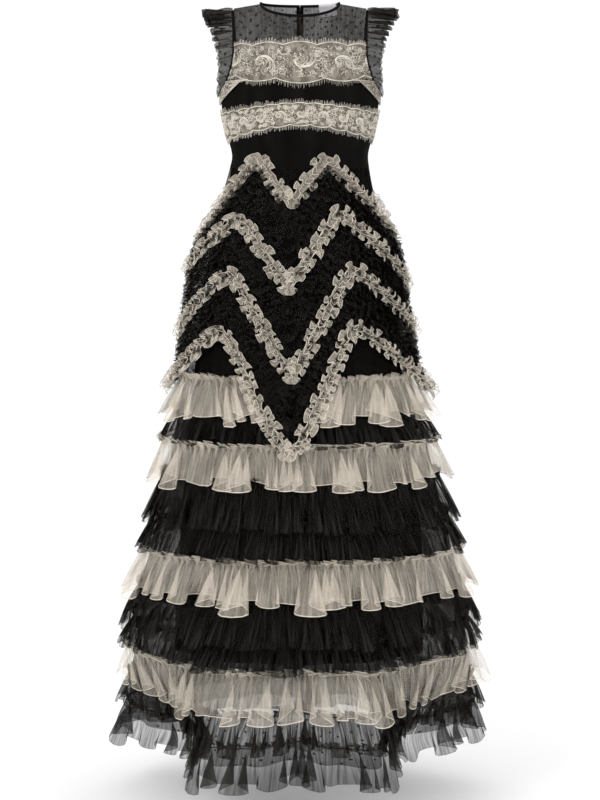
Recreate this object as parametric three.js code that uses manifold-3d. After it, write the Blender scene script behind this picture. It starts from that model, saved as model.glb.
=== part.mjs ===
import * as THREE from 'three';
import { mergeVertices } from 'three/addons/utils/BufferGeometryUtils.js';
import Module from 'manifold-3d';

// Sleeveless tulle dress with flutter ruffles at the armholes, lace bands on the bodice, a zip at the
// centre back, and a long skirt of black ruffles, cream zigzag ruffles and gathered tiers over a slip.
// Millimetres, +Z up, front towards -Y. The origin is where the shoulders carry the dress.
// A turn is an angle round the body: 0 at centre front, 90 at the side seam on +X, 180 at centre back.

// ---- driving dimensions ----
const CLOTH = 1.2;
const SEAM_GAP = 0.3;
const PANEL_SET = 0.4;
const APPLIED_GAP = 0.8;
const SPOKES = 40;
const SPOKE = 360 / SPOKES;
const CENTRE_BACK = 180;
const SIDE_SEAM = 90;

// Outer form of the dress from bodice to hem: half width, front depth and back depth of each level,
// and how far the level has left that oval for the folded plan of the hem.
const SECTIONS = [
  { z: -138, side: 139, front: 108, back: 92, folded: 0 },
  { z: -163, side: 141, front: 113, back: 94, folded: 0 },
  { z: -226, side: 131, front: 108, back: 88, folded: 0 },
  { z: -270, side: 121, front: 95, back: 84, folded: 0 },
  { z: -290, side: 125, front: 99, back: 90, folded: 0 },
  { z: -354, side: 142, front: 118, back: 118, folded: 0 },
  { z: -440, side: 170, front: 135, back: 146, folded: 0 },
  { z: -530, side: 184, front: 144, back: 162, folded: 0 },
  { z: -661, side: 206, front: 153, back: 180, folded: 0 },
  { z: -722, side: 219, front: 157, back: 191, folded: 0 },
  { z: -775, side: 231, front: 160, back: 201, folded: 0 },
  { z: -838, side: 245, front: 163, back: 213, folded: 0 },
  { z: -909, side: 261, front: 167, back: 227, folded: 0.02 },
  { z: -975, side: 278, front: 174, back: 243, folded: 0.08 },
  { z: -1044, side: 295, front: 181, back: 261, folded: 0.15 },
  { z: -1106, side: 304, front: 188, back: 277, folded: 0.28 },
  { z: -1163, side: 312, front: 194, back: 292, folded: 0.45 },
  { z: -1233, side: 321, front: 204, back: 306, folded: 0.75 },
  { z: -1285, side: 326, front: 214, back: 316, folded: 0.92 },
  { z: -1320, side: 332, front: 225, back: 322, folded: 1 },
];

// Plan of the hem: a lobe at the front, a deep fold on each side of it, and side and back lobes.
const HEM_FOLDS = [
  { turn: 0, reach: 205 },
  { turn: 15, reach: 246 },
  { turn: 30, reach: 284 },
  { turn: 45, reach: 262 },
  { turn: 60, reach: 226 },
  { turn: 75, reach: 222 },
  { turn: 90, reach: 268 },
  { turn: 105, reach: 334 },
  { turn: 120, reach: 346 },
  { turn: 135, reach: 306 },
  { turn: 150, reach: 318 },
  { turn: 165, reach: 340 },
  { turn: 180, reach: 312 },
];

const SLIP_SECTIONS = [
  { z: -290, side: 123.4, front: 97.4, back: 86.8, folded: 0 },
  { z: -354, side: 135, front: 111, back: 111, folded: 0 },
  { z: -440, side: 160, front: 126, back: 136, folded: 0 },
  { z: -661, side: 190, front: 139, back: 160, folded: 0 },
  { z: -880, side: 212, front: 152, back: 182, folded: 0 },
  { z: -1049, side: 221, front: 160, back: 192, folded: 0 },
  { z: -1155, side: 224, front: 166, back: 197, folded: 0 },
];
const SLIP_SEAM_Z = -722;
const SLIP_CLOTH = 1;

// Armhole edge: half width of the shoulders and chest at each height.
const ARMHOLE_EDGE = [
  { z: 6, half: 122 },
  { z: -3, half: 122 },
  { z: -58, half: 119 },
  { z: -98, half: 120 },
  { z: -138, half: 129 },
];
const NECK_HALF_WIDTH = 71;
const NECK_POINT_Z = 5;
const SHOULDER_DROP = 8;
const SHOULDER_SET = 1.35;
const NECK_FRONT = { depth: 62, drop: 27 };
const NECK_BACK = { depth: 45, drop: 2 };
const YOKE_HEM_Z = -138;
const UNDERARM_Z = -163;
const UNDERARM_TURN = 72;
const LACE_SEAM = { centre: -212, side: -238 };
const WAIST_SEAM_Z = -289.5;
const BINDING_RADIUS = 1.7;

const SLEEVE = { waves: 8, stations: 32, wave: 7, cloth: 1.2 };
const SLEEVE_REACH = [
  { z: 0, reach: 56 },
  { z: -45, reach: 42 },
  { z: -90, reach: 29 },
  { z: -138, reach: 14 },
];

const ZIP = { tapeWidth: 6.5, tape: 0.8, gap: 0.6, bottomZ: -430 };

// Zigzag ruffles: a strip gathered along its middle, which stands lift out from the skirt and edgeLift more
// at both edges. Between two zigzags lie rows of black ruffle that follow their line.
const ZIGZAG = { width: 28, cloth: 1.6, edgeLift: 7, steps: 5 };
const BLACK_RUFFLE = { rows: 2, flare: 8.5, slack: 2.4 };
const PLACKET = 0.2;
// Where the zigzags turn, from centre back round to centre back, and which of its heights each has there.
const ZIGZAG_TURNS = [
  { turn: -180, at: 'low' },
  { turn: -135, at: 'peak' },
  { turn: -90, at: 'side' },
  { turn: -42, at: 'peak' },
  { turn: -5, at: 'low' },
  { turn: 31, at: 'peak' },
  { turn: 90, at: 'side' },
  { turn: 135, at: 'peak' },
  { turn: 180, at: 'low' },
];
const FRONT_POINT_TURN = -5;
const FRONT_ARM = 36.5;
// The first zigzag crosses the zip, so it is open at the centre back.
const ZIGZAGS = [
  { low: -354, peak: -277, side: -420, lift: 6.2, open: true },
  { low: -501, peak: -376, side: -498, lift: 10.6, open: false },
  { low: -652, peak: -472, side: -598, lift: 10.6, open: false },
  { low: -786, peak: -573, side: -694, lift: 10.6, open: false },
];
// How far the ruffles under the zigzags stand out.
const COVER = [
  { z: -200, lift: 0 },
  { z: -640, lift: 0 },
  { z: -725, lift: 21 },
  { z: -860, lift: 21 },
];

// Gathered tiers: where each is sewn on and ends, how far its hem stands out, and its waves.
const TIERS = [
  { name: 'b', cream: false, top: -722, bottom: -778, flare: 20, wave: 5, waves: 10 },
  { name: 'c', cream: true, top: -775, bottom: -843, flare: 23, wave: 6.5, waves: 20 },
  { name: 'd', cream: false, top: -838, bottom: -914, flare: 22, wave: 6, waves: 10 },
  { name: 'e', cream: false, top: -909, bottom: -980, flare: 22, wave: 6, waves: 10 },
  { name: 'f', cream: true, top: -975, bottom: -1049, flare: 24, wave: 6.5, waves: 20 },
  { name: 'g', cream: false, top: -1044, bottom: -1111, flare: 22, wave: 6, waves: 10 },
  { name: 'h', cream: false, top: -1106, bottom: -1168, flare: 22, wave: 6, waves: 10 },
  { name: 'i', cream: true, top: -1163, bottom: -1238, flare: 24, wave: 6.5, waves: 20 },
  { name: 'j', cream: false, top: -1233, bottom: -1290, flare: 20, wave: 6, waves: 10 },
  { name: 'k', cream: false, top: -1285, bottom: -1348, flare: 24, wave: 7, waves: 20 },
];
// Tier a stops at the front and back points of the lowest zigzag.
const TIER_A = {
  top: -661, bottom: -725, topTurn: 26, bottomTurn: 13, flare: 22, wave: 6, waves: 10, slack: 1.6,
};

// ---- materials ----
function fabric(color, roughness) {
  return new THREE.MeshStandardMaterial({ color, roughness, side: THREE.DoubleSide });
}
const BLACK_CLOTH = fabric(0x131212, 0.85);
const BLACK_TULLE = fabric(0x2a2827, 0.8);
const CREAM_TULLE = fabric(0xc9bdaf, 0.8);
const CREAM_LACE = fabric(0xcfc3b3, 0.75);
const WHITE_LABEL = fabric(0xf2f0ec, 0.7);
const DARK_METAL = new THREE.MeshStandardMaterial({ color: 0x1b1b1c, roughness: 0.35, metalness: 0.9 });

// ---- small helpers ----
const dress = new THREE.Group();
const { lerp, degToRad, radToDeg } = THREE.MathUtils;
const range = (count) => Array.from({ length: count }, (_, index) => index);
const outward = (turn) => new THREE.Vector3(Math.sin(degToRad(turn)), -Math.cos(degToRad(turn)), 0);

// Rows of a table on each side of a value, and how far between them it lies.
function between(table, key, value) {
  const falling = table[0][key] > table[1][key];
  let low = 0;
  const isPast = (row) => (falling ? value < row[key] : value > row[key]);
  while (low < table.length - 2 && isPast(table[low + 1])) low += 1;
  const share = (value - table[low][key]) / (table[low + 1][key] - table[low][key]);
  return { from: table[low], to: table[low + 1], share: THREE.MathUtils.clamp(share, 0, 1) };
}

function lookUp(table, key, value, column) {
  const { from, to, share } = between(table, key, value);
  return lerp(from[column], to[column], share);
}

function mirroredTurn(turn) {
  const wrapped = ((turn % 360) + 360) % 360;
  return wrapped > CENTRE_BACK ? 360 - wrapped : wrapped;
}

// Distance from the axis to the cloth in one section row.
function rowReach(row, turn) {
  const half = mirroredTurn(turn);
  const depth = half < SIDE_SEAM ? row.front : row.back;
  const oval = 1 / Math.hypot(Math.sin(degToRad(half)) / row.side, Math.cos(degToRad(half)) / depth);
  return lerp(oval, lookUp(HEM_FOLDS, 'turn', half, 'reach'), row.folded);
}

// Point of a form of rings, on the straight facet between two spokes and two rows, moved out by lift.
function onRings(table, turn, z, lift = 0) {
  const { from, to, share } = between(table, 'z', z);
  const low = Math.floor(turn / SPOKE + 1e-9) * SPOKE;
  const reach = (angle) => lerp(rowReach(from, angle), rowReach(to, angle), share);
  const spokePoint = (angle) => outward(angle).multiplyScalar(reach(angle));
  const point = spokePoint(low).lerp(spokePoint(low + SPOKE), (turn - low) / SPOKE);
  point.addScaledVector(outward(turn), lift);
  point.z = z;
  return point;
}

// Unit normals of a grid of points, pointing away from the body. Rows run down, columns run with the turn.
function gridNormals(grid, closed) {
  const lastRow = grid.length - 1;
  const columns = grid[0].length;
  return grid.map((row, i) => row.map((_, j) => {
    const before = closed ? (j + columns - 1) % columns : Math.max(j - 1, 0);
    const after = closed ? (j + 1) % columns : Math.min(j + 1, columns - 1);
    const across = row[after].clone().sub(row[before]);
    const down = grid[Math.min(i + 1, lastRow)][j].clone().sub(grid[Math.max(i - 1, 0)][j]);
    return down.cross(across).normalize();
  }));
}

function moved(grid, lift, closed) {
  const normals = gridNormals(grid, closed);
  return grid.map((row, i) => row.map((point, j) => point.clone().addScaledVector(normals[i][j], lift)));
}

function solidFrom(points, triangles) {
  const geometry = new THREE.BufferGeometry();
  let volume = 0;
  for (const [a, b, c] of triangles) volume += points[a].dot(points[b].clone().cross(points[c]));
  const faces = volume > 0 ? triangles : triangles.map(([a, b, c]) => [a, c, b]);
  const coordinates = points.flatMap((p) => [p.x, p.y, p.z]);
  geometry.setAttribute('position', new THREE.Float32BufferAttribute(coordinates, 3));
  geometry.setIndex(faces.flat());
  return geometry;
}

// Closed wall of cloth between an outer and an inner grid.
// A closed grid joins its last column to its first.
function wall(outer, inner, closed = false) {
  const rows = outer.length;
  const columns = outer[0].length;
  const points = [...outer.flat(), ...inner.flat()];
  const triangles = [];
  const outside = (i, j) => i * columns + (j % columns);
  const inside = (i, j) => rows * columns + outside(i, j);
  const quad = (a, b, c, d) => triangles.push([a, b, c], [a, c, d]);
  const strips = closed ? columns : columns - 1;
  for (let j = 0; j < strips; j += 1) {
    for (let i = 0; i < rows - 1; i += 1) {
      quad(outside(i, j), outside(i + 1, j), outside(i + 1, j + 1), outside(i, j + 1));
      quad(inside(i, j), inside(i, j + 1), inside(i + 1, j + 1), inside(i + 1, j));
    }
    quad(outside(0, j), outside(0, j + 1), inside(0, j + 1), inside(0, j));
    quad(outside(rows - 1, j), inside(rows - 1, j), inside(rows - 1, j + 1), outside(rows - 1, j + 1));
  }
  if (!closed) {
    for (let i = 0; i < rows - 1; i += 1) {
      quad(outside(i, 0), inside(i, 0), inside(i + 1, 0), outside(i + 1, 0));
      const end = columns - 1;
      quad(outside(i, end), outside(i + 1, end), inside(i + 1, end), inside(i, end));
    }
  }
  return solidFrom(points, triangles);
}

// Cloth whose outer face is the given grid.
function cloth(grid, closed = false, thickness = CLOTH) {
  return wall(grid, moved(grid, -thickness, closed), closed);
}

// Round cord of six sides through a list of places, each with the direction that points out of the edge.
function cord(places, radius, closed = false) {
  const last = places.length - 1;
  const around = places.map(({ point, out }, i) => {
    const before = places[closed ? (i + last) % (last + 1) : Math.max(i - 1, 0)].point;
    const after = places[closed ? (i + 1) % (last + 1) : Math.min(i + 1, last)].point;
    const along = after.clone().sub(before).normalize();
    const side = along.clone().cross(out).normalize();
    const up = side.clone().cross(along).normalize();
    return range(6).map((k) => point.clone()
      .addScaledVector(up, radius * Math.cos(k * Math.PI / 3))
      .addScaledVector(side, radius * Math.sin(k * Math.PI / 3)));
  });
  const triangles = [];
  const index = (i, k) => (i % places.length) * 6 + (k % 6);
  const steps = closed ? places.length : last;
  for (let i = 0; i < steps; i += 1) {
    for (let k = 0; k < 6; k += 1) {
      triangles.push([index(i, k), index(i + 1, k), index(i + 1, k + 1)]);
      triangles.push([index(i, k), index(i + 1, k + 1), index(i, k + 1)]);
    }
  }
  if (!closed) {
    for (let k = 1; k < 5; k += 1) {
      triangles.push([index(0, 0), index(0, k), index(0, k + 1)]);
      triangles.push([index(last, 0), index(last, k + 1), index(last, k)]);
    }
  }
  return solidFrom(around.flat(), triangles);
}

function add(name, geometry, material) {
  const mesh = new THREE.Mesh(geometry, material);
  mesh.name = name;
  dress.add(mesh);
}

// Point of a grid at a real-valued row and column, so that what lies on a panel shares its facets.
function onGrid(grid, row, column) {
  const i = Math.min(Math.floor(row), grid.length - 2);
  const j = Math.min(Math.floor(column), grid[0].length - 2);
  const upper = grid[i][j].clone().lerp(grid[i][j + 1], column - j);
  const lower = grid[i + 1][j].clone().lerp(grid[i + 1][j + 1], column - j);
  return upper.lerp(lower, row - i);
}

// Cloth applied over a panel: a list of row functions, each giving the panel's row for a column.
const EDGE_INSET = 0.3;
function applied(panel, rowOf, thickness = 1) {
  const last = panel[0].length - 1;
  const columns = [EDGE_INSET, ...range(last - 1).map((k) => k + 1), last - EDGE_INSET];
  const lifted = moved(panel, APPLIED_GAP + thickness, false);
  const grid = rowOf.map((row) => columns.map((column) => onGrid(lifted, row(column), column)));
  return cloth(grid, false, thickness);
}

// ---- yoke: sheer cloth from the neck and shoulders to the bodice ----
const NECK_SHARE = NECK_HALF_WIDTH / ARMHOLE_EDGE[0].half;
const YOKE_HALF = [0.15, 0.3, 0.43, 0.52, NECK_SHARE, 0.79, 1];
const YOKE_FALLS = [0, 0.25, 0.5, 0.75, 1];

function yokePoint(share, fall, isFront) {
  const neck = isFront ? NECK_FRONT : NECK_BACK;
  const topX = share * ARMHOLE_EDGE[0].half;
  const insideNeck = Math.sqrt(Math.max(0, 1 - (topX / NECK_HALF_WIDTH) ** 2));
  const past = Math.max(0, Math.abs(topX) - NECK_HALF_WIDTH) / (ARMHOLE_EDGE[0].half - NECK_HALF_WIDTH);
  const topZ = NECK_POINT_Z - neck.drop * insideNeck - SHOULDER_DROP * past;
  const z = lerp(topZ, YOKE_HEM_Z, fall);
  const x = share * lookUp(ARMHOLE_EDGE, 'z', z, 'half');
  const hem = SECTIONS[0];
  const depth = isFront ? hem.front : hem.back;
  const hemDepth = depth * Math.sqrt(1 - (share * ARMHOLE_EDGE.at(-1).half / hem.side) ** 2);
  const bulge = Math.sin(fall * Math.PI / 2) ** 0.75;
  const y = lerp(neck.depth * insideNeck + SHOULDER_SET, hemDepth, bulge);
  return new THREE.Vector3(x, isFront ? -y : y, z);
}

function yokeGrid(shares, isFront) {
  return YOKE_FALLS.map((fall) => shares.map((share) => yokePoint(share, fall, isFront)));
}
const mirrorX = (grid) => grid.map((row) => row.map((p) => new THREE.Vector3(-p.x, p.y, p.z)).reverse());
const CENTRE_SHARE = SEAM_GAP / 2 / ARMHOLE_EDGE[0].half;

const yokeFront = yokeGrid([...YOKE_HALF.map((share) => -share).reverse(), 0, ...YOKE_HALF], true);
const yokeBackPlusX = yokeGrid([...YOKE_HALF.slice().reverse(), CENTRE_SHARE], false);
const yokeBackMinusX = mirrorX(yokeBackPlusX);
add('yoke_front', cloth(yokeFront), BLACK_TULLE);
add('yoke_back_left', cloth(yokeBackPlusX), BLACK_TULLE);
add('yoke_back_right', cloth(yokeBackMinusX), BLACK_TULLE);

// ---- bodice and waist panel: opaque panels below the yoke, with side seams and a centre-back seam ----
function bodiceTop(turn) {
  const past = Math.max(0, SIDE_SEAM - UNDERARM_TURN - Math.abs(mirroredTurn(turn) - SIDE_SEAM));
  return lerp(YOKE_HEM_Z - SEAM_GAP, UNDERARM_Z, past / (SIDE_SEAM - UNDERARM_TURN));
}
function laceSeam(turn) {
  return lerp(LACE_SEAM.centre, LACE_SEAM.side, Math.sin(degToRad(mirroredTurn(turn))) ** 2);
}

// Columns of a panel between two seams, set in a little at each end, where the wall turns a corner.
function panelTurns(start, end, reach, step = SPOKE) {
  const seam = radToDeg(PANEL_SET / reach);
  const inner = range(Math.round((end - start) / step) - 1).map((k) => start + (k + 1) * step);
  return [start + seam, ...inner, end - seam];
}
const PANELS = [
  { name: 'front', start: -SIDE_SEAM, end: SIDE_SEAM },
  { name: 'back_left', start: SIDE_SEAM, end: CENTRE_BACK },
  { name: 'back_right', start: CENTRE_BACK, end: CENTRE_BACK + SIDE_SEAM },
];
function panelGrid(panel, shares, top, bottom) {
  const turns = panelTurns(panel.start, panel.end, SECTIONS[1].side);
  const heightAt = (turn, share) => lerp(top(turn), bottom(turn), share);
  return shares.map((share) => turns.map((turn) => onRings(SECTIONS, turn, heightAt(turn, share))));
}

const bodice = {};
for (const panel of PANELS) {
  bodice[panel.name] = panelGrid(panel, [0, 0.35, 0.67, 1], bodiceTop, laceSeam);
  add(`bodice_${panel.name}`, cloth(bodice[panel.name]), BLACK_CLOTH);
  const waist = panelGrid(panel, [0, 0.5, 1], (turn) => laceSeam(turn) - SEAM_GAP, () => WAIST_SEAM_Z);
  bodice[`waist_${panel.name}`] = waist;
  add(`waist_panel_${panel.name}`, cloth(waist), BLACK_CLOTH);
}

// ---- lace bands, applied over the yoke and the bodice, with scalloped edges ----
const scallop = (column, depth) => (Math.round(column) % 2 ? depth : 0);
const UPPER_LACE = [
  (column) => 1.75 + scallop(column, 0.16),
  () => 2,
  () => 3,
  (column) => 3.72 + scallop(column, 0.22),
];
const LOWER_LACE = [
  (column) => 1.3 + scallop(column, 0.12),
  () => 2,
  (column) => 2.82 + scallop(column, 0.15),
];
const yokes = { front: yokeFront, back_left: yokeBackPlusX, back_right: yokeBackMinusX };
for (const [name, yoke] of Object.entries(yokes)) {
  add(`lace_upper_${name}`, applied(yoke, UPPER_LACE), CREAM_LACE);
  add(`lace_lower_${name}`, applied(bodice[name], LOWER_LACE), CREAM_LACE);
}

// ---- neck binding and armhole bindings ----
const BINDING_OFFSET = BINDING_RADIUS + SEAM_GAP + 0.1;
function bound(point, out) {
  const direction = out.clone().normalize();
  return { point: point.clone().addScaledVector(direction, BINDING_OFFSET), out: direction };
}
const neckEdge = (row) => row.filter((p) => Math.abs(p.x) <= NECK_HALF_WIDTH + 0.1);
const neckPlaces = [...neckEdge(yokeBackMinusX[0]).reverse().map((p) => p.clone()),
  ...neckEdge(yokeFront[0]),
  ...neckEdge(yokeBackPlusX[0])];
const seamless = neckPlaces.filter((p, i) => i === 0 || p.distanceTo(neckPlaces[i - 1]) > 1);
const neckCord = seamless.map((p) => bound(p, new THREE.Vector3(-p.x, -p.y, 60)));
add('neck_binding', cord(neckCord, BINDING_RADIUS), BLACK_CLOTH);

// Armhole edge on +X from the front underarm over the shoulder to the back underarm.
function armholePlaces() {
  const up = (share) => new THREE.Vector3(1 - share, 0, share);
  const shoulder = yokeFront[0].at(-1).clone().setY(0);
  const front = yokeFront.slice(1).map((row) => bound(row.at(-1), up(0))).reverse();
  const back = yokeBackPlusX.slice(1).map((row) => bound(row[0], up(0)));
  const under = [-1, 0, 1].map((step) => {
    const turn = SIDE_SEAM + step * SPOKE;
    const edge = onRings(SECTIONS, turn, bodiceTop(turn));
    return bound(edge.add(new THREE.Vector3(0, 0, 0.4)), up(1 - Math.abs(turn - SIDE_SEAM) / 25));
  });
  return { over: [...front, bound(shoulder, up(0)), ...back], under: under.reverse() };
}
const armhole = armholePlaces();
const flipX = (place) => ({
  point: place.point.clone().setX(-place.point.x),
  out: place.out.clone().setX(-place.out.x),
});
const armholeLoop = [...armhole.over, ...armhole.under];
add('armhole_binding_left', cord(armholeLoop, BINDING_RADIUS, true), BLACK_CLOTH);
add('armhole_binding_right', cord(armholeLoop.map(flipX), BINDING_RADIUS, true), BLACK_CLOTH);

// ---- flutter sleeves: a gathered strip that stands out from the armhole ----
function sleeveGrid() {
  const start = BINDING_RADIUS + SEAM_GAP + 0.3;
  const steps = armhole.over.length - 1;
  const rows = [[], []];
  for (let k = 0; k <= SLEEVE.stations; k += 1) {
    const along = k / SLEEVE.stations * steps;
    const low = Math.min(Math.floor(along), steps - 1);
    const root = armhole.over[low].point.clone().lerp(armhole.over[low + 1].point, along - low);
    root.x += start;
    const tangent = armhole.over[low + 1].point.clone().sub(armhole.over[low].point).normalize();
    const across = tangent.cross(new THREE.Vector3(1, 0, 0)).normalize();
    const reach = lookUp(SLEEVE_REACH, 'z', root.z, 'reach');
    const wave = SLEEVE.wave * Math.sin(k / SLEEVE.stations * SLEEVE.waves * 2 * Math.PI);
    const edge = root.clone().addScaledVector(across, wave);
    edge.x += reach;
    edge.z -= reach * 0.12;
    rows[0].push(root);
    rows[1].push(edge);
  }
  return rows;
}
const sleeve = sleeveGrid();
add('sleeve_ruffle_left', cloth(sleeve, false, SLEEVE.cloth), BLACK_TULLE);
add('sleeve_ruffle_right', cloth(mirrorX(sleeve), false, SLEEVE.cloth), BLACK_TULLE);

// ---- slip and sheer skirt base ----
// The slip has an upper and a lower part, joined by a seam round the thighs.
const skirtPanel = (panel, table, heights, step) => heights
  .map((z) => panelTurns(panel.start, panel.end, lookUp(table, 'z', z, 'side'), step)
    .map((turn) => onRings(table, turn, z)));
const heightsOf = (table) => table.map((row) => row.z).filter((z) => z <= SLIP_SECTIONS[0].z);
const slipHeights = heightsOf(SLIP_SECTIONS);
const SLIP_PARTS = {
  upper: [...slipHeights.filter((z) => z > SLIP_SEAM_Z), SLIP_SEAM_Z],
  lower: [SLIP_SEAM_Z - SEAM_GAP, ...slipHeights.filter((z) => z < SLIP_SEAM_Z)],
};
for (const panel of PANELS) {
  for (const [part, heights] of Object.entries(SLIP_PARTS)) {
    const slip = skirtPanel(panel, SLIP_SECTIONS, heights, 2 * SPOKE);
    add(`slip_${part}_${panel.name}`, cloth(slip, false, SLIP_CLOTH), BLACK_CLOTH);
  }
  const base = skirtPanel(panel, SECTIONS, heightsOf(SECTIONS), SPOKE);
  add(`skirt_base_${panel.name}`, cloth(base), BLACK_TULLE);
}

// ---- zip at the centre back, inside the opening, with its slider and pull tab outside ----
const centreBack = [
  ...yokeBackPlusX.map((row) => row.at(-1)),
  ...bodice.back_left.slice(1).map((row) => row.at(-1)),
  ...bodice.waist_back_left.slice(1).map((row) => row.at(-1)),
  onRings(SECTIONS, CENTRE_BACK, -354),
  onRings(SECTIONS, CENTRE_BACK, ZIP.bottomZ),
].map((p) => new THREE.Vector3(0, p.y, p.z));
function tapeGrid(sign) {
  const line = [sign * SEAM_GAP / 2, sign * ZIP.tapeWidth].sort((a, b) => b - a);
  const grid = centreBack.map((p) => line.map((x) => new THREE.Vector3(x, p.y, p.z)));
  return moved(grid, -(CLOTH + ZIP.gap), false);
}
add('zip_tape_left', cloth(tapeGrid(1), false, ZIP.tape), BLACK_CLOTH);
add('zip_tape_right', cloth(tapeGrid(-1), false, ZIP.tape), BLACK_CLOTH);

// Blank label inside the back of the neck, beside the zip.
const insideBack = moved(yokeBackPlusX, -(CLOTH + 1.5 * APPLIED_GAP), false);
const LABEL = { rows: [0.04, 0.32], columns: [2.8, 4, 5.3], cloth: 0.6 };
const labelGrid = LABEL.rows.map((row) => LABEL.columns.map((column) => onGrid(insideBack, row, column)));
add('neck_label', cloth(labelGrid, false, LABEL.cloth), WHITE_LABEL);

const wasm = await Module();
wasm.setup();
function asSolid(geometry) {
  const bare = geometry.clone();
  bare.deleteAttribute('normal');
  bare.deleteAttribute('uv');
  const merged = mergeVertices(bare, 1e-4);
  const vertProperties = new Float32Array(merged.attributes.position.array);
  const triVerts = new Uint32Array(merged.index.array);
  return new wasm.Manifold(new wasm.Mesh({ numProp: 3, vertProperties, triVerts }));
}
function joined(geometries, holes = []) {
  let solid = geometries.map(asSolid).reduce((sum, piece) => sum.add(piece));
  for (const hole of holes) solid = solid.subtract(asSolid(hole));
  const mesh = solid.getMesh();
  const geometry = new THREE.BufferGeometry();
  geometry.setAttribute('position', new THREE.BufferAttribute(new Float32Array(mesh.vertProperties), 3));
  geometry.setIndex(new THREE.BufferAttribute(new Uint32Array(mesh.triVerts), 1));
  return geometry;
}
const boxAt = (size, centre) => new THREE.BoxGeometry(...size).translate(...centre);
const acrossCylinder = (radius, length, centre) => new THREE.CylinderGeometry(radius, radius, length, 16)
  .rotateZ(Math.PI / 2).translate(...centre);

// Slider and tab are made in the zip's own frame: X across, Y out of the cloth, Z up along the zip.
const SLIDER = {
  width: 8, length: 9, height: 3, earGap: 3.6, ear: 1.2, earLength: 3.2, pin: 0.6, pinHeight: 1.8,
};
const TAB = {
  knuckle: 1.4, hole: 0.9, knuckleWidth: 3, thickness: 1, neckEnd: 5, width: 6, length: 24, rest: 8,
};
const SLIDER_SHARE = 0.42;
const zipSlope = centreBack[1].clone().sub(centreBack[0]);
const sliderPlace = centreBack[0].clone().addScaledVector(zipSlope, SLIDER_SHARE);
const lean = Math.atan2(zipSlope.y, -zipSlope.z);
const pinY = 0.5 + SLIDER.height + SLIDER.pinHeight;
function seatOnZip(geometry) {
  return geometry.rotateX(lean).translate(sliderPlace.x, sliderPlace.y, sliderPlace.z);
}

const ears = [-1, 1].map((sign) => boxAt([SLIDER.ear, pinY + 0.9 - 2, SLIDER.earLength],
  [sign * (SLIDER.earGap + SLIDER.ear) / 2, (pinY + 0.9 + 2) / 2, 0]));
add('zip_slider', seatOnZip(joined([
  boxAt([SLIDER.width, SLIDER.height, SLIDER.length], [0, 0.5 + SLIDER.height / 2, 0]),
  ...ears,
  acrossCylinder(SLIDER.pin, SLIDER.earGap + 1, [0, pinY, 0]),
])), DARK_METAL);

const tabPlate = joined([
  acrossCylinder(TAB.knuckle, TAB.knuckleWidth, [0, 0, 0]),
  boxAt([TAB.knuckleWidth, TAB.thickness, TAB.neckEnd], [0, 0, -TAB.neckEnd / 2 - 0.7]),
  boxAt([TAB.width, TAB.thickness, TAB.length - TAB.neckEnd], [0, 0, -(TAB.length + TAB.neckEnd) / 2]),
], [acrossCylinder(TAB.hole, TAB.knuckleWidth + 1, [0, 0, 0])]);
tabPlate.rotateX(-degToRad(TAB.rest)).translate(0, pinY, 0);
add('zip_pull_tab', seatOnZip(tabPlate), DARK_METAL);

// ---- rings of gathered cloth ----
// Open ring from one turn to another: its top row is sewn to the skirt and its hem stands out in waves.
function ruffleGrid(topZ, bottomZ, turns, flare, wave = 0, waves = 0, slack = 0.4) {
  const seat = SEAM_GAP + CLOTH + slack;
  const hem = (turn) => flare + wave * Math.sin(degToRad(turn * waves));
  return [
    turns(0).map((turn) => onRings(SECTIONS, turn, topZ, seat)),
    turns(1).map((turn) => onRings(SECTIONS, turn, bottomZ, hem(turn))),
  ];
}
const fullTurns = (samples) => () => range(samples).map((k) => k * 360 / samples);

// Turns and heights along the zigzags.
const zigzagTurns = ZIGZAG_TURNS.slice(1).flatMap((to, k) => range(ZIGZAG.steps)
  .map((step) => lerp(ZIGZAG_TURNS[k].turn, to.turn, step / ZIGZAG.steps)));
const openTurns = [PLACKET - CENTRE_BACK, ...zigzagTurns.slice(1), CENTRE_BACK - PLACKET];
function zigzagZ(zigzag, turn) {
  const { from, to, share } = between(ZIGZAG_TURNS, 'turn', turn);
  return lerp(zigzag[from.at], zigzag[to.at], share);
}
const coverLift = (z) => lookUp(COVER, 'z', z, 'lift');

// Rows of black ruffle between two zigzags. They part at the centre back.
const ROW_GAP = 1;
ZIGZAGS.slice(1).forEach((lower, index) => {
  for (const row of range(BLACK_RUFFLE.rows)) {
    const height = (turn, share) => lerp(zigzagZ(ZIGZAGS[index], turn), zigzagZ(lower, turn), share);
    const seat = SEAM_GAP + CLOTH + BLACK_RUFFLE.slack;
    const top = openTurns.map((turn) => {
      const z = height(turn, row / BLACK_RUFFLE.rows);
      return onRings(SECTIONS, turn, z, seat + coverLift(z));
    });
    const hem = openTurns.map((turn) => {
      const z = height(turn, (row + 1) / BLACK_RUFFLE.rows) + ROW_GAP;
      return onRings(SECTIONS, turn, z, BLACK_RUFFLE.flare + coverLift(z));
    });
    add(`black_ruffle_${index * BLACK_RUFFLE.rows + row + 1}`, cloth([top, hem]), BLACK_TULLE);
  }
});

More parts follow.
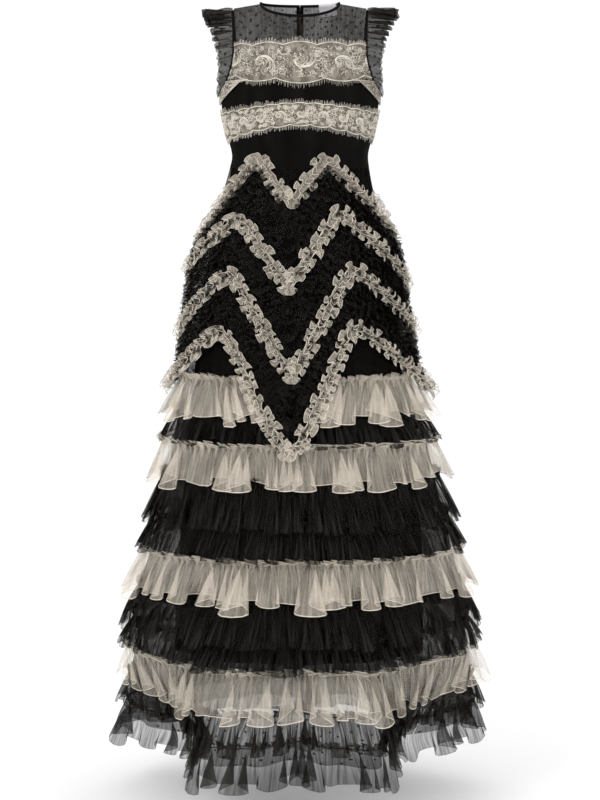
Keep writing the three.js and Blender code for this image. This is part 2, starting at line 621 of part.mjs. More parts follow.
// Cream zigzag ruffles: a strip gathered along its middle, so both edges stand away from the skirt.
ZIGZAGS.forEach((zigzag, index) => {
  const armReach = lookUp(SECTIONS, 'z', zigzag.peak, 'side');
  const armSlope = (zigzag.peak - zigzag.low) / degToRad(FRONT_ARM) / armReach;
  const halfHeight = ZIGZAG.width / 2 * Math.hypot(1, armSlope);
  const rows = [
    { rise: halfHeight, lift: ZIGZAG.edgeLift },
    { rise: 0, lift: 0 },
    { rise: -halfHeight, lift: ZIGZAG.edgeLift },
  ].map(({ rise, lift }) => (zigzag.open ? openTurns : zigzagTurns).map((turn) => {
    const z = zigzagZ(zigzag, turn) + rise;
    return onRings(SECTIONS, turn, z, zigzag.lift + lift + coverLift(z));
  }));
  add(`zigzag_${index + 1}`, cloth(rows, !zigzag.open, ZIGZAG.cloth), CREAM_TULLE);
});

// Tier a: two arcs that stop at the lowest zigzag's front and back points.
const ARCS = [
  { name: 'left', start: FRONT_POINT_TURN, end: CENTRE_BACK },
  { name: 'right', start: -CENTRE_BACK, end: FRONT_POINT_TURN },
];
for (const { name, start, end } of ARCS) {
  const turns = (fall) => {
    const inset = lerp(TIER_A.topTurn, TIER_A.bottomTurn, fall);
    return range(19).map((k) => lerp(start + inset, end - inset, k / 18));
  };
  const { top, bottom, flare, wave, waves, slack } = TIER_A;
  add(`tier_a_${name}`, cloth(ruffleGrid(top, bottom, turns, flare, wave, waves, slack)), CREAM_TULLE);
}
for (const tier of TIERS) {
  const turns = fullTurns(tier.waves * 4);
  const grid = ruffleGrid(tier.top, tier.bottom, turns, tier.flare, tier.wave, tier.waves);
  add(`tier_${tier.name}`, cloth(grid, true), tier.cream ? CREAM_TULLE : BLACK_TULLE);
}

export default dress;
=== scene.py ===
import bpy
import numpy as np
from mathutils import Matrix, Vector


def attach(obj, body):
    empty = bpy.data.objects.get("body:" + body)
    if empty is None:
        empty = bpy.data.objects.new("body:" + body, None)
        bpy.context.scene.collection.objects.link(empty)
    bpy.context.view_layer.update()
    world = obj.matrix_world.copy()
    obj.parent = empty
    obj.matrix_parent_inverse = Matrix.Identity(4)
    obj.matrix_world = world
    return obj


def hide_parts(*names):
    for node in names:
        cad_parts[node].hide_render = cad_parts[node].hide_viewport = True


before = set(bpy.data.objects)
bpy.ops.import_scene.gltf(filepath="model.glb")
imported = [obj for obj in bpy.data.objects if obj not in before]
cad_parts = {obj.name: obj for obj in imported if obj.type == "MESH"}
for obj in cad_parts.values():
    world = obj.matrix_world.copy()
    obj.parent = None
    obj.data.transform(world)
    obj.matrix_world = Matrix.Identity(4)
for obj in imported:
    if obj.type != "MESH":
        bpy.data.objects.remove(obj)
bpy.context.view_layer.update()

# ---- Studio ----
# A pale floor that rises into a backdrop, an even white surround and two large soft lamps.
# The camera stands four metres in front of the dress, at the height of its waist.
CAMERA_PLACE = (0, -4.0, -0.3475)
CAMERA_AIM = (0, 0, -0.7041)
CAMERA_LENS = 100.08
FLOOR_Z = -1.452
FLOOR_REACH = 30
STUDIO_WHITE = (0.92, 0.92, 0.92, 1)

camera = bpy.data.objects.new("camera", bpy.data.cameras.new("camera"))
camera.data.lens = CAMERA_LENS
camera.location = CAMERA_PLACE
camera.rotation_euler = (Vector(CAMERA_AIM) - Vector(CAMERA_PLACE)).to_track_quat("-Z", "Y").to_euler()
bpy.context.scene.collection.objects.link(camera)
bpy.context.scene.camera = camera
bpy.context.scene.view_settings.view_transform = "Standard"
bpy.context.scene.cycles.transparent_max_bounces = 32


class Wire:
    """An output of a shader node. Arithmetic on it adds Math nodes to its material."""

    def __init__(self, finish, node, output=0):
        self.finish = finish
        self.node = node
        self.socket = node.outputs[output]

    def math(self, operation, *values):
        return self.finish.node("ShaderNodeMath", {"operation": operation}, dict(enumerate(values)))

    def __add__(self, value):
        return self.math("ADD", self, value)

    __radd__ = __add__

    def __sub__(self, value):
        return self.math("SUBTRACT", self, value)

    def __rsub__(self, value):
        return self.math("SUBTRACT", value, self)

    def __mul__(self, value):
        return self.math("MULTIPLY", self, value)

    __rmul__ = __mul__

    def least(self, value):
        return self.math("MINIMUM", self, value)

    def most(self, value):
        return self.math("MAXIMUM", self, value)

    def size(self):
        return self.math("ABSOLUTE", self)

    def sine(self):
        return self.math("SINE", self)

    def fade(self, start, end):
        """0 where the wire is at start, 1 where it is at end."""
        settings = {"clamp": True, "interpolation_type": "SMOOTHSTEP"}
        return self.finish.node("ShaderNodeMapRange", settings, {0: self, 1: start, 2: end})


class Finish:
    """A node material. node() adds any node: its settings are set first, then its sockets."""

    def __init__(self, name):
        self.material = bpy.data.materials.new(name)
        self.material.use_nodes = True
        self.tree = self.material.node_tree
        self.tree.nodes.clear()

    def node(self, kind, settings=None, sockets=None, output=0):
        node = self.tree.nodes.new(kind)
        for name, value in (settings or {}).items():
            setattr(node, name, value)
        for name, value in (sockets or {}).items():
            if isinstance(value, Wire):
                self.tree.links.new(value.socket, node.inputs[name])
            else:
                node.inputs[name].default_value = value
        return Wire(self, node, output) if node.outputs else None

    def cloth_map(self):
        """The place on the cloth, and how far along and across it that is, in metres."""
        place = self.node("ShaderNodeUVMap", {"uv_map": "cloth"})
        along = self.node("ShaderNodeSeparateXYZ", {}, {0: place})
        return place, along, Wire(self, along.node, 1)

    def noise(self, place, scale, detail=2, stretch=(1, 1, 1)):
        """Smooth noise from 0 to 1, finer along an axis with a greater stretch."""
        spread = self.node("ShaderNodeVectorMath", {"operation": "MULTIPLY"}, {0: place, 1: stretch})
        sockets = {"Vector": spread, "Scale": scale, "Detail": detail}
        return self.node("ShaderNodeTexNoise", {"noise_dimensions": "2D"}, sockets)

    def between(self, share, low, high):
        """Colour mixed from low to high."""
        return self.node("ShaderNodeMix", {"data_type": "RGBA"}, {0: share, 6: low, 7: high}, 2)

    def bump(self, strength, distance, height):
        sockets = {"Strength": strength, "Distance": distance, "Height": height}
        return self.node("ShaderNodeBump", {}, sockets)

    def surface(self, sockets):
        shader = self.node("ShaderNodeBsdfPrincipled", {}, sockets)
        self.node("ShaderNodeOutputMaterial", {}, {0: shader})
        return self.material


def studio_floor():
    profile = [(-FLOOR_REACH, 0), (FLOOR_REACH * 0.4, 0), (FLOOR_REACH * 0.8, 0), (FLOOR_REACH, 8)]
    corners = [(x, y, FLOOR_Z + rise) for y, rise in profile for x in (-FLOOR_REACH, FLOOR_REACH)]
    mesh = bpy.data.meshes.new("floor")
    mesh.from_pydata(corners, [], [(2 * k, 2 * k + 1, 2 * k + 3, 2 * k + 2) for k in range(len(profile) - 1)])
    floor = bpy.data.objects.new("floor", mesh)
    finish = Finish("pale floor")
    mesh.materials.append(finish.surface({
        "Base Color": STUDIO_WHITE, "Roughness": 0.9,
        "Emission Color": STUDIO_WHITE, "Emission Strength": 0.10,
    }))
    bpy.context.scene.collection.objects.link(floor)


def studio_lamp(name, place, size, watts):
    lamp = bpy.data.objects.new(name, bpy.data.lights.new(name, "AREA"))
    lamp.data.shape = "DISK"
    lamp.data.size = size
    lamp.data.energy = watts
    lamp.location = place
    lamp.rotation_euler = (Vector(CAMERA_AIM) - Vector(place)).to_track_quat("-Z", "Y").to_euler()
    bpy.context.scene.collection.objects.link(lamp)


studio_floor()
studio_lamp("key lamp", (-2.2, -3.2, 1.6), 1.6, 60)
studio_lamp("fill lamp", (2.6, -2.6, 0.4), 1.8, 25)
world = bpy.data.worlds.new("white surround")
world.use_nodes = True
world.node_tree.nodes["Background"].inputs["Color"].default_value = (1, 1, 1, 1)
world.node_tree.nodes["Background"].inputs["Strength"].default_value = 1.0
bpy.context.scene.world = world

# ---- Slip lining ----
# An opaque black lining under the net, cut in a front and two back panels and sewn into the waist.
# It hangs straight to the calf, and only the sheer skirt goes on below it.
BLACK = (0.0035, 0.0032, 0.0030, 1)
SLIP_HEM_Z = -1.155
SLIP_FRONT_WIDTH = 0.62
SLIP_BACK_WIDTH = 0.31
SKIRT_TOP_Z = -0.2885
# height, half width, front depth, back depth
SLIP_FORM = np.array([
    (-1.155, 0.224, 0.166, 0.197),
    (-1.049, 0.221, 0.160, 0.192),
    (-0.880, 0.212, 0.152, 0.182),
    (-0.661, 0.190, 0.139, 0.160),
    (-0.440, 0.160, 0.126, 0.136),
    (-0.354, 0.135, 0.111, 0.111),
    (-0.290, 0.1234, 0.0974, 0.0868),
])


def smooth(knots, values, at):
    """Cubic curve through the knots, read at each place of at."""
    knots, values, at = (np.asarray(x, float) for x in (knots, values, at))
    slopes = np.gradient(values, knots)
    k = np.clip(np.searchsorted(knots, at) - 1, 0, len(knots) - 2)
    width = knots[k + 1] - knots[k]
    t = np.clip((at - knots[k]) / width, 0, 1)
    start = values[k] * (1 + 2 * t) * (1 - t) ** 2 + slopes[k] * width * t * (1 - t) ** 2
    end = values[k + 1] * t ** 2 * (3 - 2 * t) - slopes[k + 1] * width * t ** 2 * (1 - t)
    return start + end


def oval(form, turn, z):
    """Distance from the middle to a form's cloth. Turn is in degrees: 0 in front, 90 at the left side."""
    side, front, back = (smooth(form[:, 0], form[:, k], z) for k in (1, 2, 3))
    angle = np.radians(turn)
    depth = np.where(np.cos(angle) > 0, front, back)
    return 1 / np.hypot(np.sin(angle) / side, np.cos(angle) / depth)


def round_body(turn, z, reach):
    angle = np.radians(turn)
    return np.stack([reach * np.sin(angle), -reach * np.cos(angle), z + 0 * reach], axis=-1)


def lengths_along(grid, axis):
    """Distance from the start of each row or column of a grid of points."""
    steps = np.linalg.norm(np.diff(grid, axis=axis), axis=-1)
    pad = [(0, 0), (0, 0)]
    pad[axis] = (1, 0)
    return np.pad(np.cumsum(steps, axis=axis), pad)


def distance_along(line):
    """Distance of each point of a line from its start."""
    return np.concatenate([[0], np.cumsum(np.linalg.norm(np.diff(line, axis=0), axis=1))])


def points_at(places, along, line):
    return np.stack([np.interp(places, along, line[:, axis]) for axis in range(3)], axis=-1)


def unit(directions):
    return directions / (np.linalg.norm(directions, axis=-1, keepdims=True) + 1e-12)


def mesh_of(name, points, faces, material, maps):
    """One object from points and quads, smooth shaded, with its cloth map in metres."""
    mesh = bpy.data.meshes.new(name)
    mesh.vertices.add(len(points))
    mesh.vertices.foreach_set("co", np.asarray(points, np.float32).ravel())
    mesh.loops.add(faces.size)
    mesh.loops.foreach_set("vertex_index", faces.ravel().astype(np.int32))
    mesh.polygons.add(len(faces))
    mesh.polygons.foreach_set("loop_start", np.arange(0, faces.size, 4, dtype=np.int32))
    layer = mesh.uv_layers.new(name="cloth")
    layer.data.foreach_set("uv", np.asarray(maps, np.float32).ravel())
    mesh.update(calc_edges=True)
    mesh.validate()
    mesh.shade_smooth()
    mesh.materials.append(material)
    piece = bpy.data.objects.new(name, mesh)
    bpy.context.scene.collection.objects.link(piece)
    return piece


def grid_faces(rows, columns, first=0):
    """Quads of a grid of points that are stored row by row."""
    corner = first + np.arange(rows - 1)[:, None] * columns + np.arange(columns - 1)
    return np.stack([corner, corner + columns, corner + columns + 1, corner + 1], axis=-1).reshape(-1, 4)


def sheet_piece(name, grids, material):
    """Cloth from one or more grids of points: across the cloth by rows, along it by columns."""
    points, faces, maps, first, along = [], [], [], 0, 0.0
    for grid in grids:
        rows, columns = grid.shape[:2]
        u = along + lengths_along(grid, 1).mean(axis=0)[None, :].repeat(rows, 0)
        v = lengths_along(grid, 0).mean(axis=1)[:, None].repeat(columns, 1)
        quads = grid_faces(rows, columns)
        points.append(grid.reshape(-1, 3))
        faces.append(quads + first)
        maps.append(np.stack([u.ravel(), v.max() - v.ravel()], axis=-1)[quads.ravel()])
        first += rows * columns
        along += u.max() + 0.013
    return mesh_of(name, np.concatenate(points), np.concatenate(faces), material, np.concatenate(maps))


def opaque_cloth():
    finish = Finish("black lining cloth")
    place, along, across = finish.cloth_map()
    weave = (along * 5200).sine() * (across * 5200).sine()
    creases = finish.noise(place, 9, 3, (3, 0.5, 1))
    height = weave * 0.15 + creases
    bump = finish.bump(0.25, 0.002, height)
    # The colour is lighter on the crease ridges and darker in their hollows, by the same noise as the bump:
    # painted shade in the creases.
    colour = finish.between(creases.fade(0.35, 0.75), BLACK, (0.0060, 0.0056, 0.0052, 1))
    sockets = {"Base Color": colour, "Roughness": 0.9, "Normal": bump, "Specular IOR Level": 0.03}
    return finish.surface(sockets)


BLACK_CLOTH = opaque_cloth()
# Where each panel starts and ends, in degrees round the body
PANELS = {"front": (-90, 90), "back_left": (90, 180), "back_right": (180, 270)}
SEAM = 0.15
# Each side of the dress, and what x is multiplied by there
SIDES = (("left", 1), ("right", -1))


def panel_turns(panel, count=60):
    start, end = PANELS[panel]
    return np.linspace(start + SEAM, end - SEAM, count)


def dress_piece(piece, slot, *nodes):
    """Fix a piece to the dress, in place of the nodes it stands for."""
    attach(piece, "dress")
    if nodes:
        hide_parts(*nodes)


def soft_creases(turn, z, depth, folds, seed):
    """Uneven upright folds, fading in from the waist."""
    draw = np.random.default_rng(seed)
    angle = np.radians(turn)
    uneven = sum(draw.uniform(-1, 1) * np.sin(angle * n + draw.uniform(0, 6)) for n in range(2, 7))
    return depth * np.cos(angle * folds + uneven + 0.8 * np.sin(z * 9 + uneven))


for panel in PANELS:
    turns, heights = np.meshgrid(panel_turns(panel), np.linspace(SKIRT_TOP_Z, SLIP_HEM_Z, 40))
    grow = np.clip((-0.35 - heights) / 0.5, 0, 1)
    reach = oval(SLIP_FORM, turns, heights) + soft_creases(turns, heights, 0.006, 9, 3) * grow
    piece = sheet_piece(f"slip_lining_{panel}", [round_body(turns, heights, reach)], BLACK_CLOTH)
    dress_piece(piece, "black_cloth", f"slip_upper_{panel}", f"slip_lower_{panel}")
    width = SLIP_FRONT_WIDTH if panel == "front" else SLIP_BACK_WIDTH

# ---- Bodice and waist panel ----
# Opaque black cloth over the bust and ribs, with a seam at each side and one at the centre back.
# The waist panel below the lower lace is a separate shaped piece with a few soft upright creases.
YOKE_HEM_Z = -0.138
UNDERARM_Z = -0.163
UNDERARM_ARC = 18
LACE_SEAM_Z = -0.212
LACE_SEAM_DROP = 0.026
WAIST_Z = -0.2895
BODICE_FRONT_WIDTH = 0.39
BODICE_BACK_WIDTH = 0.18
# height, half width, front depth, back depth, how far the level has left its oval for the folds of the hem
DRESS_FORM = np.array([
    (-1.350, 0.340, 0.230, 0.324, 1),
    (-1.320, 0.340, 0.225, 0.322, 1),
    (-1.285, 0.342, 0.214, 0.316, 0.88),
    (-1.233, 0.340, 0.204, 0.306, 0.66),
    (-1.163, 0.330, 0.194, 0.292, 0.36),
    (-1.106, 0.316, 0.188, 0.277, 0.22),
    (-1.044, 0.300, 0.181, 0.261, 0.12),
    (-0.975, 0.278, 0.174, 0.243, 0.08),
    (-0.909, 0.261, 0.167, 0.227, 0.02),
    (-0.838, 0.245, 0.163, 0.213, 0),
    (-0.775, 0.231, 0.160, 0.201, 0),
    (-0.722, 0.219, 0.157, 0.191, 0),
    (-0.661, 0.206, 0.153, 0.180, 0),
    (-0.530, 0.184, 0.144, 0.162, 0),
    (-0.440, 0.170, 0.135, 0.146, 0),
    (-0.354, 0.142, 0.118, 0.118, 0),
    (-0.290, 0.125, 0.099, 0.090, 0),
    (-0.270, 0.121, 0.095, 0.084, 0),
    (-0.226, 0.131, 0.108, 0.088, 0),
    (-0.163, 0.141, 0.113, 0.094, 0),
    (-0.138, 0.139, 0.108, 0.092, 0),
])
# The folded plan of the hem: turn, reach
HEM_PLAN = np.array([
    (-180, 0.312), (-165, 0.342), (-150, 0.330), (-135, 0.338), (-119, 0.372), (-108, 0.322),
    (-100, 0.272), (-89, 0.206), (-74, 0.178), (-60, 0.197), (-46, 0.241), (-36, 0.272),
    (-24, 0.264), (-14, 0.242), (0, 0.184), (8, 0.222), (19, 0.256), (27, 0.284),
    (36, 0.250), (52, 0.190), (66, 0.170), (81, 0.182), (91, 0.218), (99, 0.268),
    (107, 0.322), (116, 0.362), (128, 0.338), (140, 0.312), (152, 0.318), (166, 0.342), (180, 0.312),
])
# How far the middle of the dress stands to the side: height, distance
SWAY = np.array([
    (-1.35, 0.0), (-0.9, 0.002), (-0.7, -0.003), (-0.5, -0.007), (-0.35, -0.004), (-0.27, 0.0),
])


def on_dress(turn, z, lift=0.0):
    """Point of the dress's outer form, moved out by lift."""
    plain = oval(DRESS_FORM, turn, z)
    folded = smooth(DRESS_FORM[:, 0], DRESS_FORM[:, 4], z)
    wrapped = (np.asarray(turn, float) + 180) % 360 - 180
    plan = smooth(HEM_PLAN[:, 0], HEM_PLAN[:, 1], wrapped)
    place = round_body(turn, z, plain + (plan - plain) * folded + lift)
    place[..., 0] += np.interp(z, SWAY[:, 0], SWAY[:, 1])
    return place


def bodice_top(turn):
    """Height of the top edge, which drops to the underarm at the sides."""
    from_side = np.abs(np.abs((turn + 180) % 360 - 180) - 90)
    past = np.clip(UNDERARM_ARC - from_side, 0, UNDERARM_ARC)
    return YOKE_HEM_Z + (UNDERARM_Z - YOKE_HEM_Z) * past / UNDERARM_ARC


def lace_seam(turn):
    """Height of the seam between the bodice and the waist panel, which dips at the sides."""
    return LACE_SEAM_Z - LACE_SEAM_DROP * np.sin(np.radians(turn)) ** 2


for panel in PANELS:
    turns = panel_turns(panel)
    share = np.linspace(0, 1, 16)[:, None]
    heights = bodice_top(turns) * (1 - share) + lace_seam(turns) * share
    grid = on_dress(turns + 0 * share, heights, -0.0004)
    piece = sheet_piece(f"bodice_cloth_{panel}", [grid], BLACK_CLOTH)
    dress_piece(piece, "black_cloth", f"bodice_{panel}")
    width = BODICE_FRONT_WIDTH if panel == "front" else BODICE_BACK_WIDTH
    share = np.linspace(0, 1, 12)[:, None]
    heights = lace_seam(turns) * (1 - share) + WAIST_Z * share
    ripple = soft_creases(turns + 0 * share, heights, 0.0009, 21, 5) * np.sin(np.pi * share) ** 0.5
    grid = on_dress(turns + 0 * share, heights, ripple)
    piece = sheet_piece(f"waist_cloth_{panel}", [grid], BLACK_CLOTH)
    dress_piece(piece, "black_cloth", f"waist_panel_{panel}")

# ---- Sheer skirt base ----
# Dotted black tulle over the lining: the layer that every ruffle is sewn to. It is cut in three panels
# and falls in upright folds, which are deepest near the hem.
SKIRT_HEM_Z = -1.318
SKIRT_FOLDS = 26
SKIRT_FRONT_CUT = (0.92, 0.78)
SKIRT_BACK_CUT = (0.52, 0.45)
TULLE_BLACK = (0.0062, 0.0056, 0.0050, 1)
TULLE_CREAM = (0.64, 0.575, 0.485, 1)


def net_threads(along, across, mesh):
    """Diamond net: 1 on a thread and 0 in a hole. mesh is the width of a hole in metres."""
    turn = np.pi / mesh
    one = ((along + across * 0.8) * turn).sine()
    two = ((along - across * 0.8) * turn).sine()
    return 1 - (one * two).size().fade(0.0, 0.55)


def point_dots(finish, along, across, seed, spacing, radius):
    """Woven dots in staggered rows, a little uneven."""
    rising = (along + across) * 0.7071 + seed
    falling = (along - across) * 0.7071
    slanted = finish.node("ShaderNodeCombineXYZ", {}, {0: rising, 1: falling})
    settings = {"feature": "F1", "voronoi_dimensions": "2D"}
    sockets = {"Vector": slanted, "Scale": 1 / spacing, "Randomness": 0.28}
    cell = finish.node("ShaderNodeTexVoronoi", settings, sockets)
    return cell.fade(radius / spacing * 1.25, radius / spacing * 0.75)


def tulle(name, colour, cover, seed, mesh=0.0021, dots=None, hem=None, streak=0.30, light=1.25):
    """Net whose cover varies in upright streaks, with optional dots and an optional firmer hem line. Along
    the denser streaks its colour is made lighter by the factor light: a painted sheen highlight.
    """
    finish = Finish(name)
    place, along, across = finish.cloth_map()
    shift = (seed * 3.7, seed, seed)
    shifted = finish.node("ShaderNodeVectorMath", {"operation": "ADD"}, {0: place, 1: shift})
    streaks = finish.noise(shifted, 230, 4, (1, 0.06, 1))
    clouds = finish.noise(shifted, 22, 2, (1, 0.6, 1))
    threads = net_threads(along, across, mesh)
    alpha = (streaks - 0.5) * streak + (clouds - 0.5) * 0.25 + threads * 0.22 + (cover - 0.09)
    if dots:
        alpha = alpha.most(point_dots(finish, along, across, seed, *dots) * 0.96)
    if hem:
        alpha = alpha.most(across.fade(hem * 1.5, hem * 0.6) * 0.92)
    alpha = alpha.most(0.03).least(0.97)
    # thread is a painted highlight colour: the net's colour made lighter by light, for the sheen along the
    # denser streaks.
    thread = tuple(min(1, c * light) for c in colour[:3]) + (1,)
    shade = finish.between(streaks.fade(0.35, 0.7), colour, thread)
    return finish.surface({"Base Color": shade, "Roughness": 1.0, "Alpha": alpha, "IOR": 1.03})


BASE_TULLE = tulle("dotted black tulle", TULLE_BLACK, 0.62, 1, dots=(0.017, 0.0021))
for panel in PANELS:
    columns = 180 if panel == "front" else 100
    turns, heights = np.meshgrid(panel_turns(panel, columns), np.linspace(SKIRT_TOP_Z, SKIRT_HEM_Z, 60))
    grow = np.clip((-0.30 - heights) / 0.9, 0, 1)
    lift = soft_creases(turns, heights, 0.008, SKIRT_FOLDS, 8) * grow - 0.006 * grow
    piece = sheet_piece(f"skirt_net_{panel}", [on_dress(turns, heights, lift)], BASE_TULLE)
    dress_piece(piece, "black_tulle", f"skirt_base_{panel}")
    width, area = SKIRT_FRONT_CUT if panel == "front" else SKIRT_BACK_CUT

# ---- Tiers ----
# Ten rings of tulle and a pair of arcs, each cut about twice as long as the skirt is round there,
# gathered below a small curled heading and sewn on by that line, so its hem hangs in uneven flutes.
FLUTE_SAMPLES = 20
TIER_ROWS = 11
HEADING = 0.008
SEWN = 0.0045
CREAM_CURL = 0.0036


def wander(s, draw, lowest, highest, terms=7):
    """Uneven wave round a closed ring: s runs from 0 to 1."""
    parts = [draw.uniform(0.5, 1) * np.sin(2 * np.pi * (draw.integers(lowest, highest) * s + draw.random()))
             for _ in range(terms)]
    return sum(parts) / np.sqrt(terms) * 1.2


def gathered_ring(start, end, top, bottom, flare, flutes, depth, curl, lobe, seed, sewn=SEWN, inset=(0, 0)):
    """Sheet gathered at its top. Each flute swings out and back under itself, and hangs in a round lobe."""
    draw = np.random.default_rng(seed)
    s = np.linspace(0, 1, int(flutes * FLUTE_SAMPLES) + 1)
    fall = np.concatenate([[-1, -0.5], np.linspace(0, 1, TIER_ROWS)])[:, None]
    down = np.clip(fall, 0, 1)
    head = np.clip(-fall, 0, 1)
    phase = 2 * np.pi * flutes * s + 2.6 * wander(s, draw, 2, int(flutes / 2))
    lean = 0.6 * wander(s, draw, 3, int(flutes)) * down
    size = np.clip(1 + 0.60 * wander(s, draw, 3, int(flutes * 0.8)), 0.15, 2.2)
    open_up = down ** 0.7
    pucker = 2 * np.pi * np.round(flutes * 3.2) * s + 2.5 * wander(s, draw, 5, 40)
    small = np.exp(-down * 6) + 1.8 * head
    out = depth * size * open_up * np.cos(phase + lean) + curl * small * np.cos(pucker)
    out += 0.0016 * down * wander(s, draw, int(flutes), int(flutes * 4))
    swing = 1.05 * depth * size * open_up * np.sin(2 * phase + lean) + 0.8 * curl * small * np.sin(2 * pucker)
    lift = sewn + flare * down ** 0.8 + curl * 1.2 * head + out
    round_hem = lobe * (0.5 - size * np.maximum(np.cos(phase), -0.6))
    round_hem += 0.004 * wander(s, draw, 3, int(flutes))
    uneven_head = 1 + 0.60 * np.cos(pucker + 0.7) + 0.25 * wander(s, draw, 9, 60)
    heights = top + (bottom - top) * down + HEADING * head * uneven_head + round_hem * down ** 2
    lift = np.maximum(lift, 0.002)
    pulled = (inset[0] * (1 - down) + inset[1] * down) * ((1 - s) ** 2 - s ** 2)
    turns = start + (end - start) * s + np.sign(end - start) * pulled
    around = oval(DRESS_FORM, turns, heights)
    return on_dress(turns + np.degrees(swing / around), heights, lift)


def cut_length(grid):
    """Length the strip was cut to. The tightest gathers are finer than the mesh and take up the rest."""
    across = np.cross(np.diff(grid[:-1], axis=1), np.diff(grid[:, :-1], axis=0))
    back = np.cross(np.diff(grid[1:], axis=1), np.diff(grid[:, 1:], axis=0))
    area = 0.5 * (np.linalg.norm(across, axis=-1).sum() + np.linalg.norm(back, axis=-1).sum())
    return float(area / cut_width(grid) / 0.85)


def cut_width(grid):
    return float(lengths_along(grid, 0)[-1].mean())


def gathered_piece(name, grids, material, slot, node):
    piece = sheet_piece(name, grids, material)
    dress_piece(piece, slot, node)
    sum(cut_length(grid) for grid in grids)
    cut_width(grids[0])


# Direction that no thread runs along, from which the round of each thread is set out
THREAD_TURN = (0.31, 0.21, 0.93)


def tube_piece(name, lines, radius, material, sides=4):
    """Round thread along each line of points."""
    points, faces, maps, first = [], [], [], 0
    for number, line in enumerate(lines):
        ahead = unit(np.gradient(line, axis=0))
        side = unit(np.cross(ahead, THREAD_TURN))
        other = np.cross(ahead, side)
        angles = np.linspace(0, 2 * np.pi, sides + 1)
        thick = radius[number] if isinstance(radius, list) else radius
        ring = np.cos(angles)[:, None, None] * side + np.sin(angles)[:, None, None] * other
        grid = line[None] + ring * thick
        quads = grid_faces(sides + 1, len(line))
        u = lengths_along(line[None], 1).repeat(sides + 1, 0)
        v = np.linspace(0, 2 * np.pi, sides + 1)[:, None].repeat(len(line), 1) * thick
        points.append(grid.reshape(-1, 3))
        faces.append(quads + first)
        maps.append(np.stack([u.ravel(), v.ravel()], axis=-1)[quads.ravel()])
        first += (sides + 1) * len(line)
    return mesh_of(name, np.concatenate(points), np.concatenate(faces), material, np.concatenate(maps))


def thread_finish(name, colour, light, relief=0.4, ior=1.2):
    finish = Finish(name)
    place, along, across = finish.cloth_map()
    twist = (along * 2600 + across * 1800).sine()
    uneven = finish.noise(place, 60, 2)
    bump = finish.bump(relief, 0.0004, twist + uneven)
    shade = finish.between(uneven.fade(0.3, 0.7), colour, light)
    return finish.surface({"Base Color": shade, "Roughness": 0.9, "Normal": bump, "IOR": ior})


CREAM_EDGE = thread_finish("cream rolled edge", (0.62, 0.56, 0.47, 1), (0.80, 0.74, 0.64, 1))
DARK_THREAD = (0.005, 0.0046, 0.0042, 1)
LIGHTER_THREAD = (0.013, 0.0120, 0.0108, 1)
BLACK_THREAD = thread_finish("black gathering thread", DARK_THREAD, LIGHTER_THREAD, relief=0.1, ior=1.03)
CREAM_TULLE = tulle("cream tulle", TULLE_CREAM, 0.30, 2, hem=0.0011, streak=0.22)
LOW_CREAM_TULLE = tulle("lower cream tulle", TULLE_CREAM, 0.23, 12, hem=0.0011, streak=0.22)
BLACK_TULLE = tulle("black tulle", TULLE_BLACK, 0.66, 3, streak=1.9, hem=0.0007, light=2.6)
SHEER_BLACK_TULLE = tulle("sheer black tulle", TULLE_BLACK, 0.60, 4, streak=0.9, hem=0.0007, light=2.4)
# name, top, bottom, flare, flutes, depth, lobe, material
TIERS = [
    ("b", -0.722, -0.770, 0.016, 40, 0.006, 0.003, BLACK_TULLE),
    ("c", -0.778, -0.842, 0.011, 31, 0.0100, 0.008, CREAM_TULLE),
    ("d", -0.838, -0.916, 0.019, 44, 0.007, 0.004, BLACK_TULLE),
    ("e", -0.909, -0.967, 0.020, 46, 0.007, 0.004, BLACK_TULLE),
    ("f", -0.977, -1.045, 0.013, 34, 0.0105, 0.0075, CREAM_TULLE),
    ("g", -1.044, -1.113, 0.022, 50, 0.008, 0.005, BLACK_TULLE),
    ("h", -1.106, -1.154, 0.022, 50, 0.008, 0.005, BLACK_TULLE),
    ("i", -1.165, -1.236, 0.013, 37, 0.0105, 0.0080, LOW_CREAM_TULLE),
    ("j", -1.233, -1.291, 0.018, 44, 0.008, 0.005, BLACK_TULLE),
    ("k", -1.285, -1.352, 0.020, 36, 0.011, 0.007, SHEER_BLACK_TULLE),
]
# slot, curl of the heading, how far the sewn line stands off; and the thread: its row of the cloth,
# how much wider round it lies, radius, material
CREAM = ("cream_tulle", CREAM_CURL, 0.0145, (0, 1, 0.0005, CREAM_EDGE))
BLACK_NET = ("black_tulle", 0.0022, SEWN, (2, 1.003, 0.0011, BLACK_THREAD))
for k, (name, top, bottom, flare, flutes, depth, lobe, material) in enumerate(TIERS):
    slot, curl, sewn, thread = CREAM if material in (CREAM_TULLE, LOW_CREAM_TULLE) else BLACK_NET
    row, wider, radius, thread_material = thread
    grid = gathered_ring(-180, 180, top, bottom, flare, flutes, depth, curl, lobe, 40 + k, sewn)
    line = grid[row] * (wider, wider, 1)
    dress_piece(tube_piece(f"tier_thread_{name}", [line], radius, thread_material, sides=3), slot)
    gathered_piece(f"tier_cloth_{name}", [grid], material, slot, f"tier_{name}")

FRONT_POINT = -6
A_TOP_Z = -0.661
A_HEM_Z = -0.725
# How far the inner ends of the first tier are from the front point, at its top and at its hem
A_INSET = (24, 14)
for name, side in SIDES:
    grid = gathered_ring(FRONT_POINT, side * 180, A_TOP_Z, A_HEM_Z, 0.019, 16, 0.010, CREAM_CURL, 0.009,
                         300 + side, inset=A_INSET)
    gathered_piece(f"tier_cloth_a_{name}", [grid], CREAM_TULLE, "cream_tulle", f"tier_a_{name}")

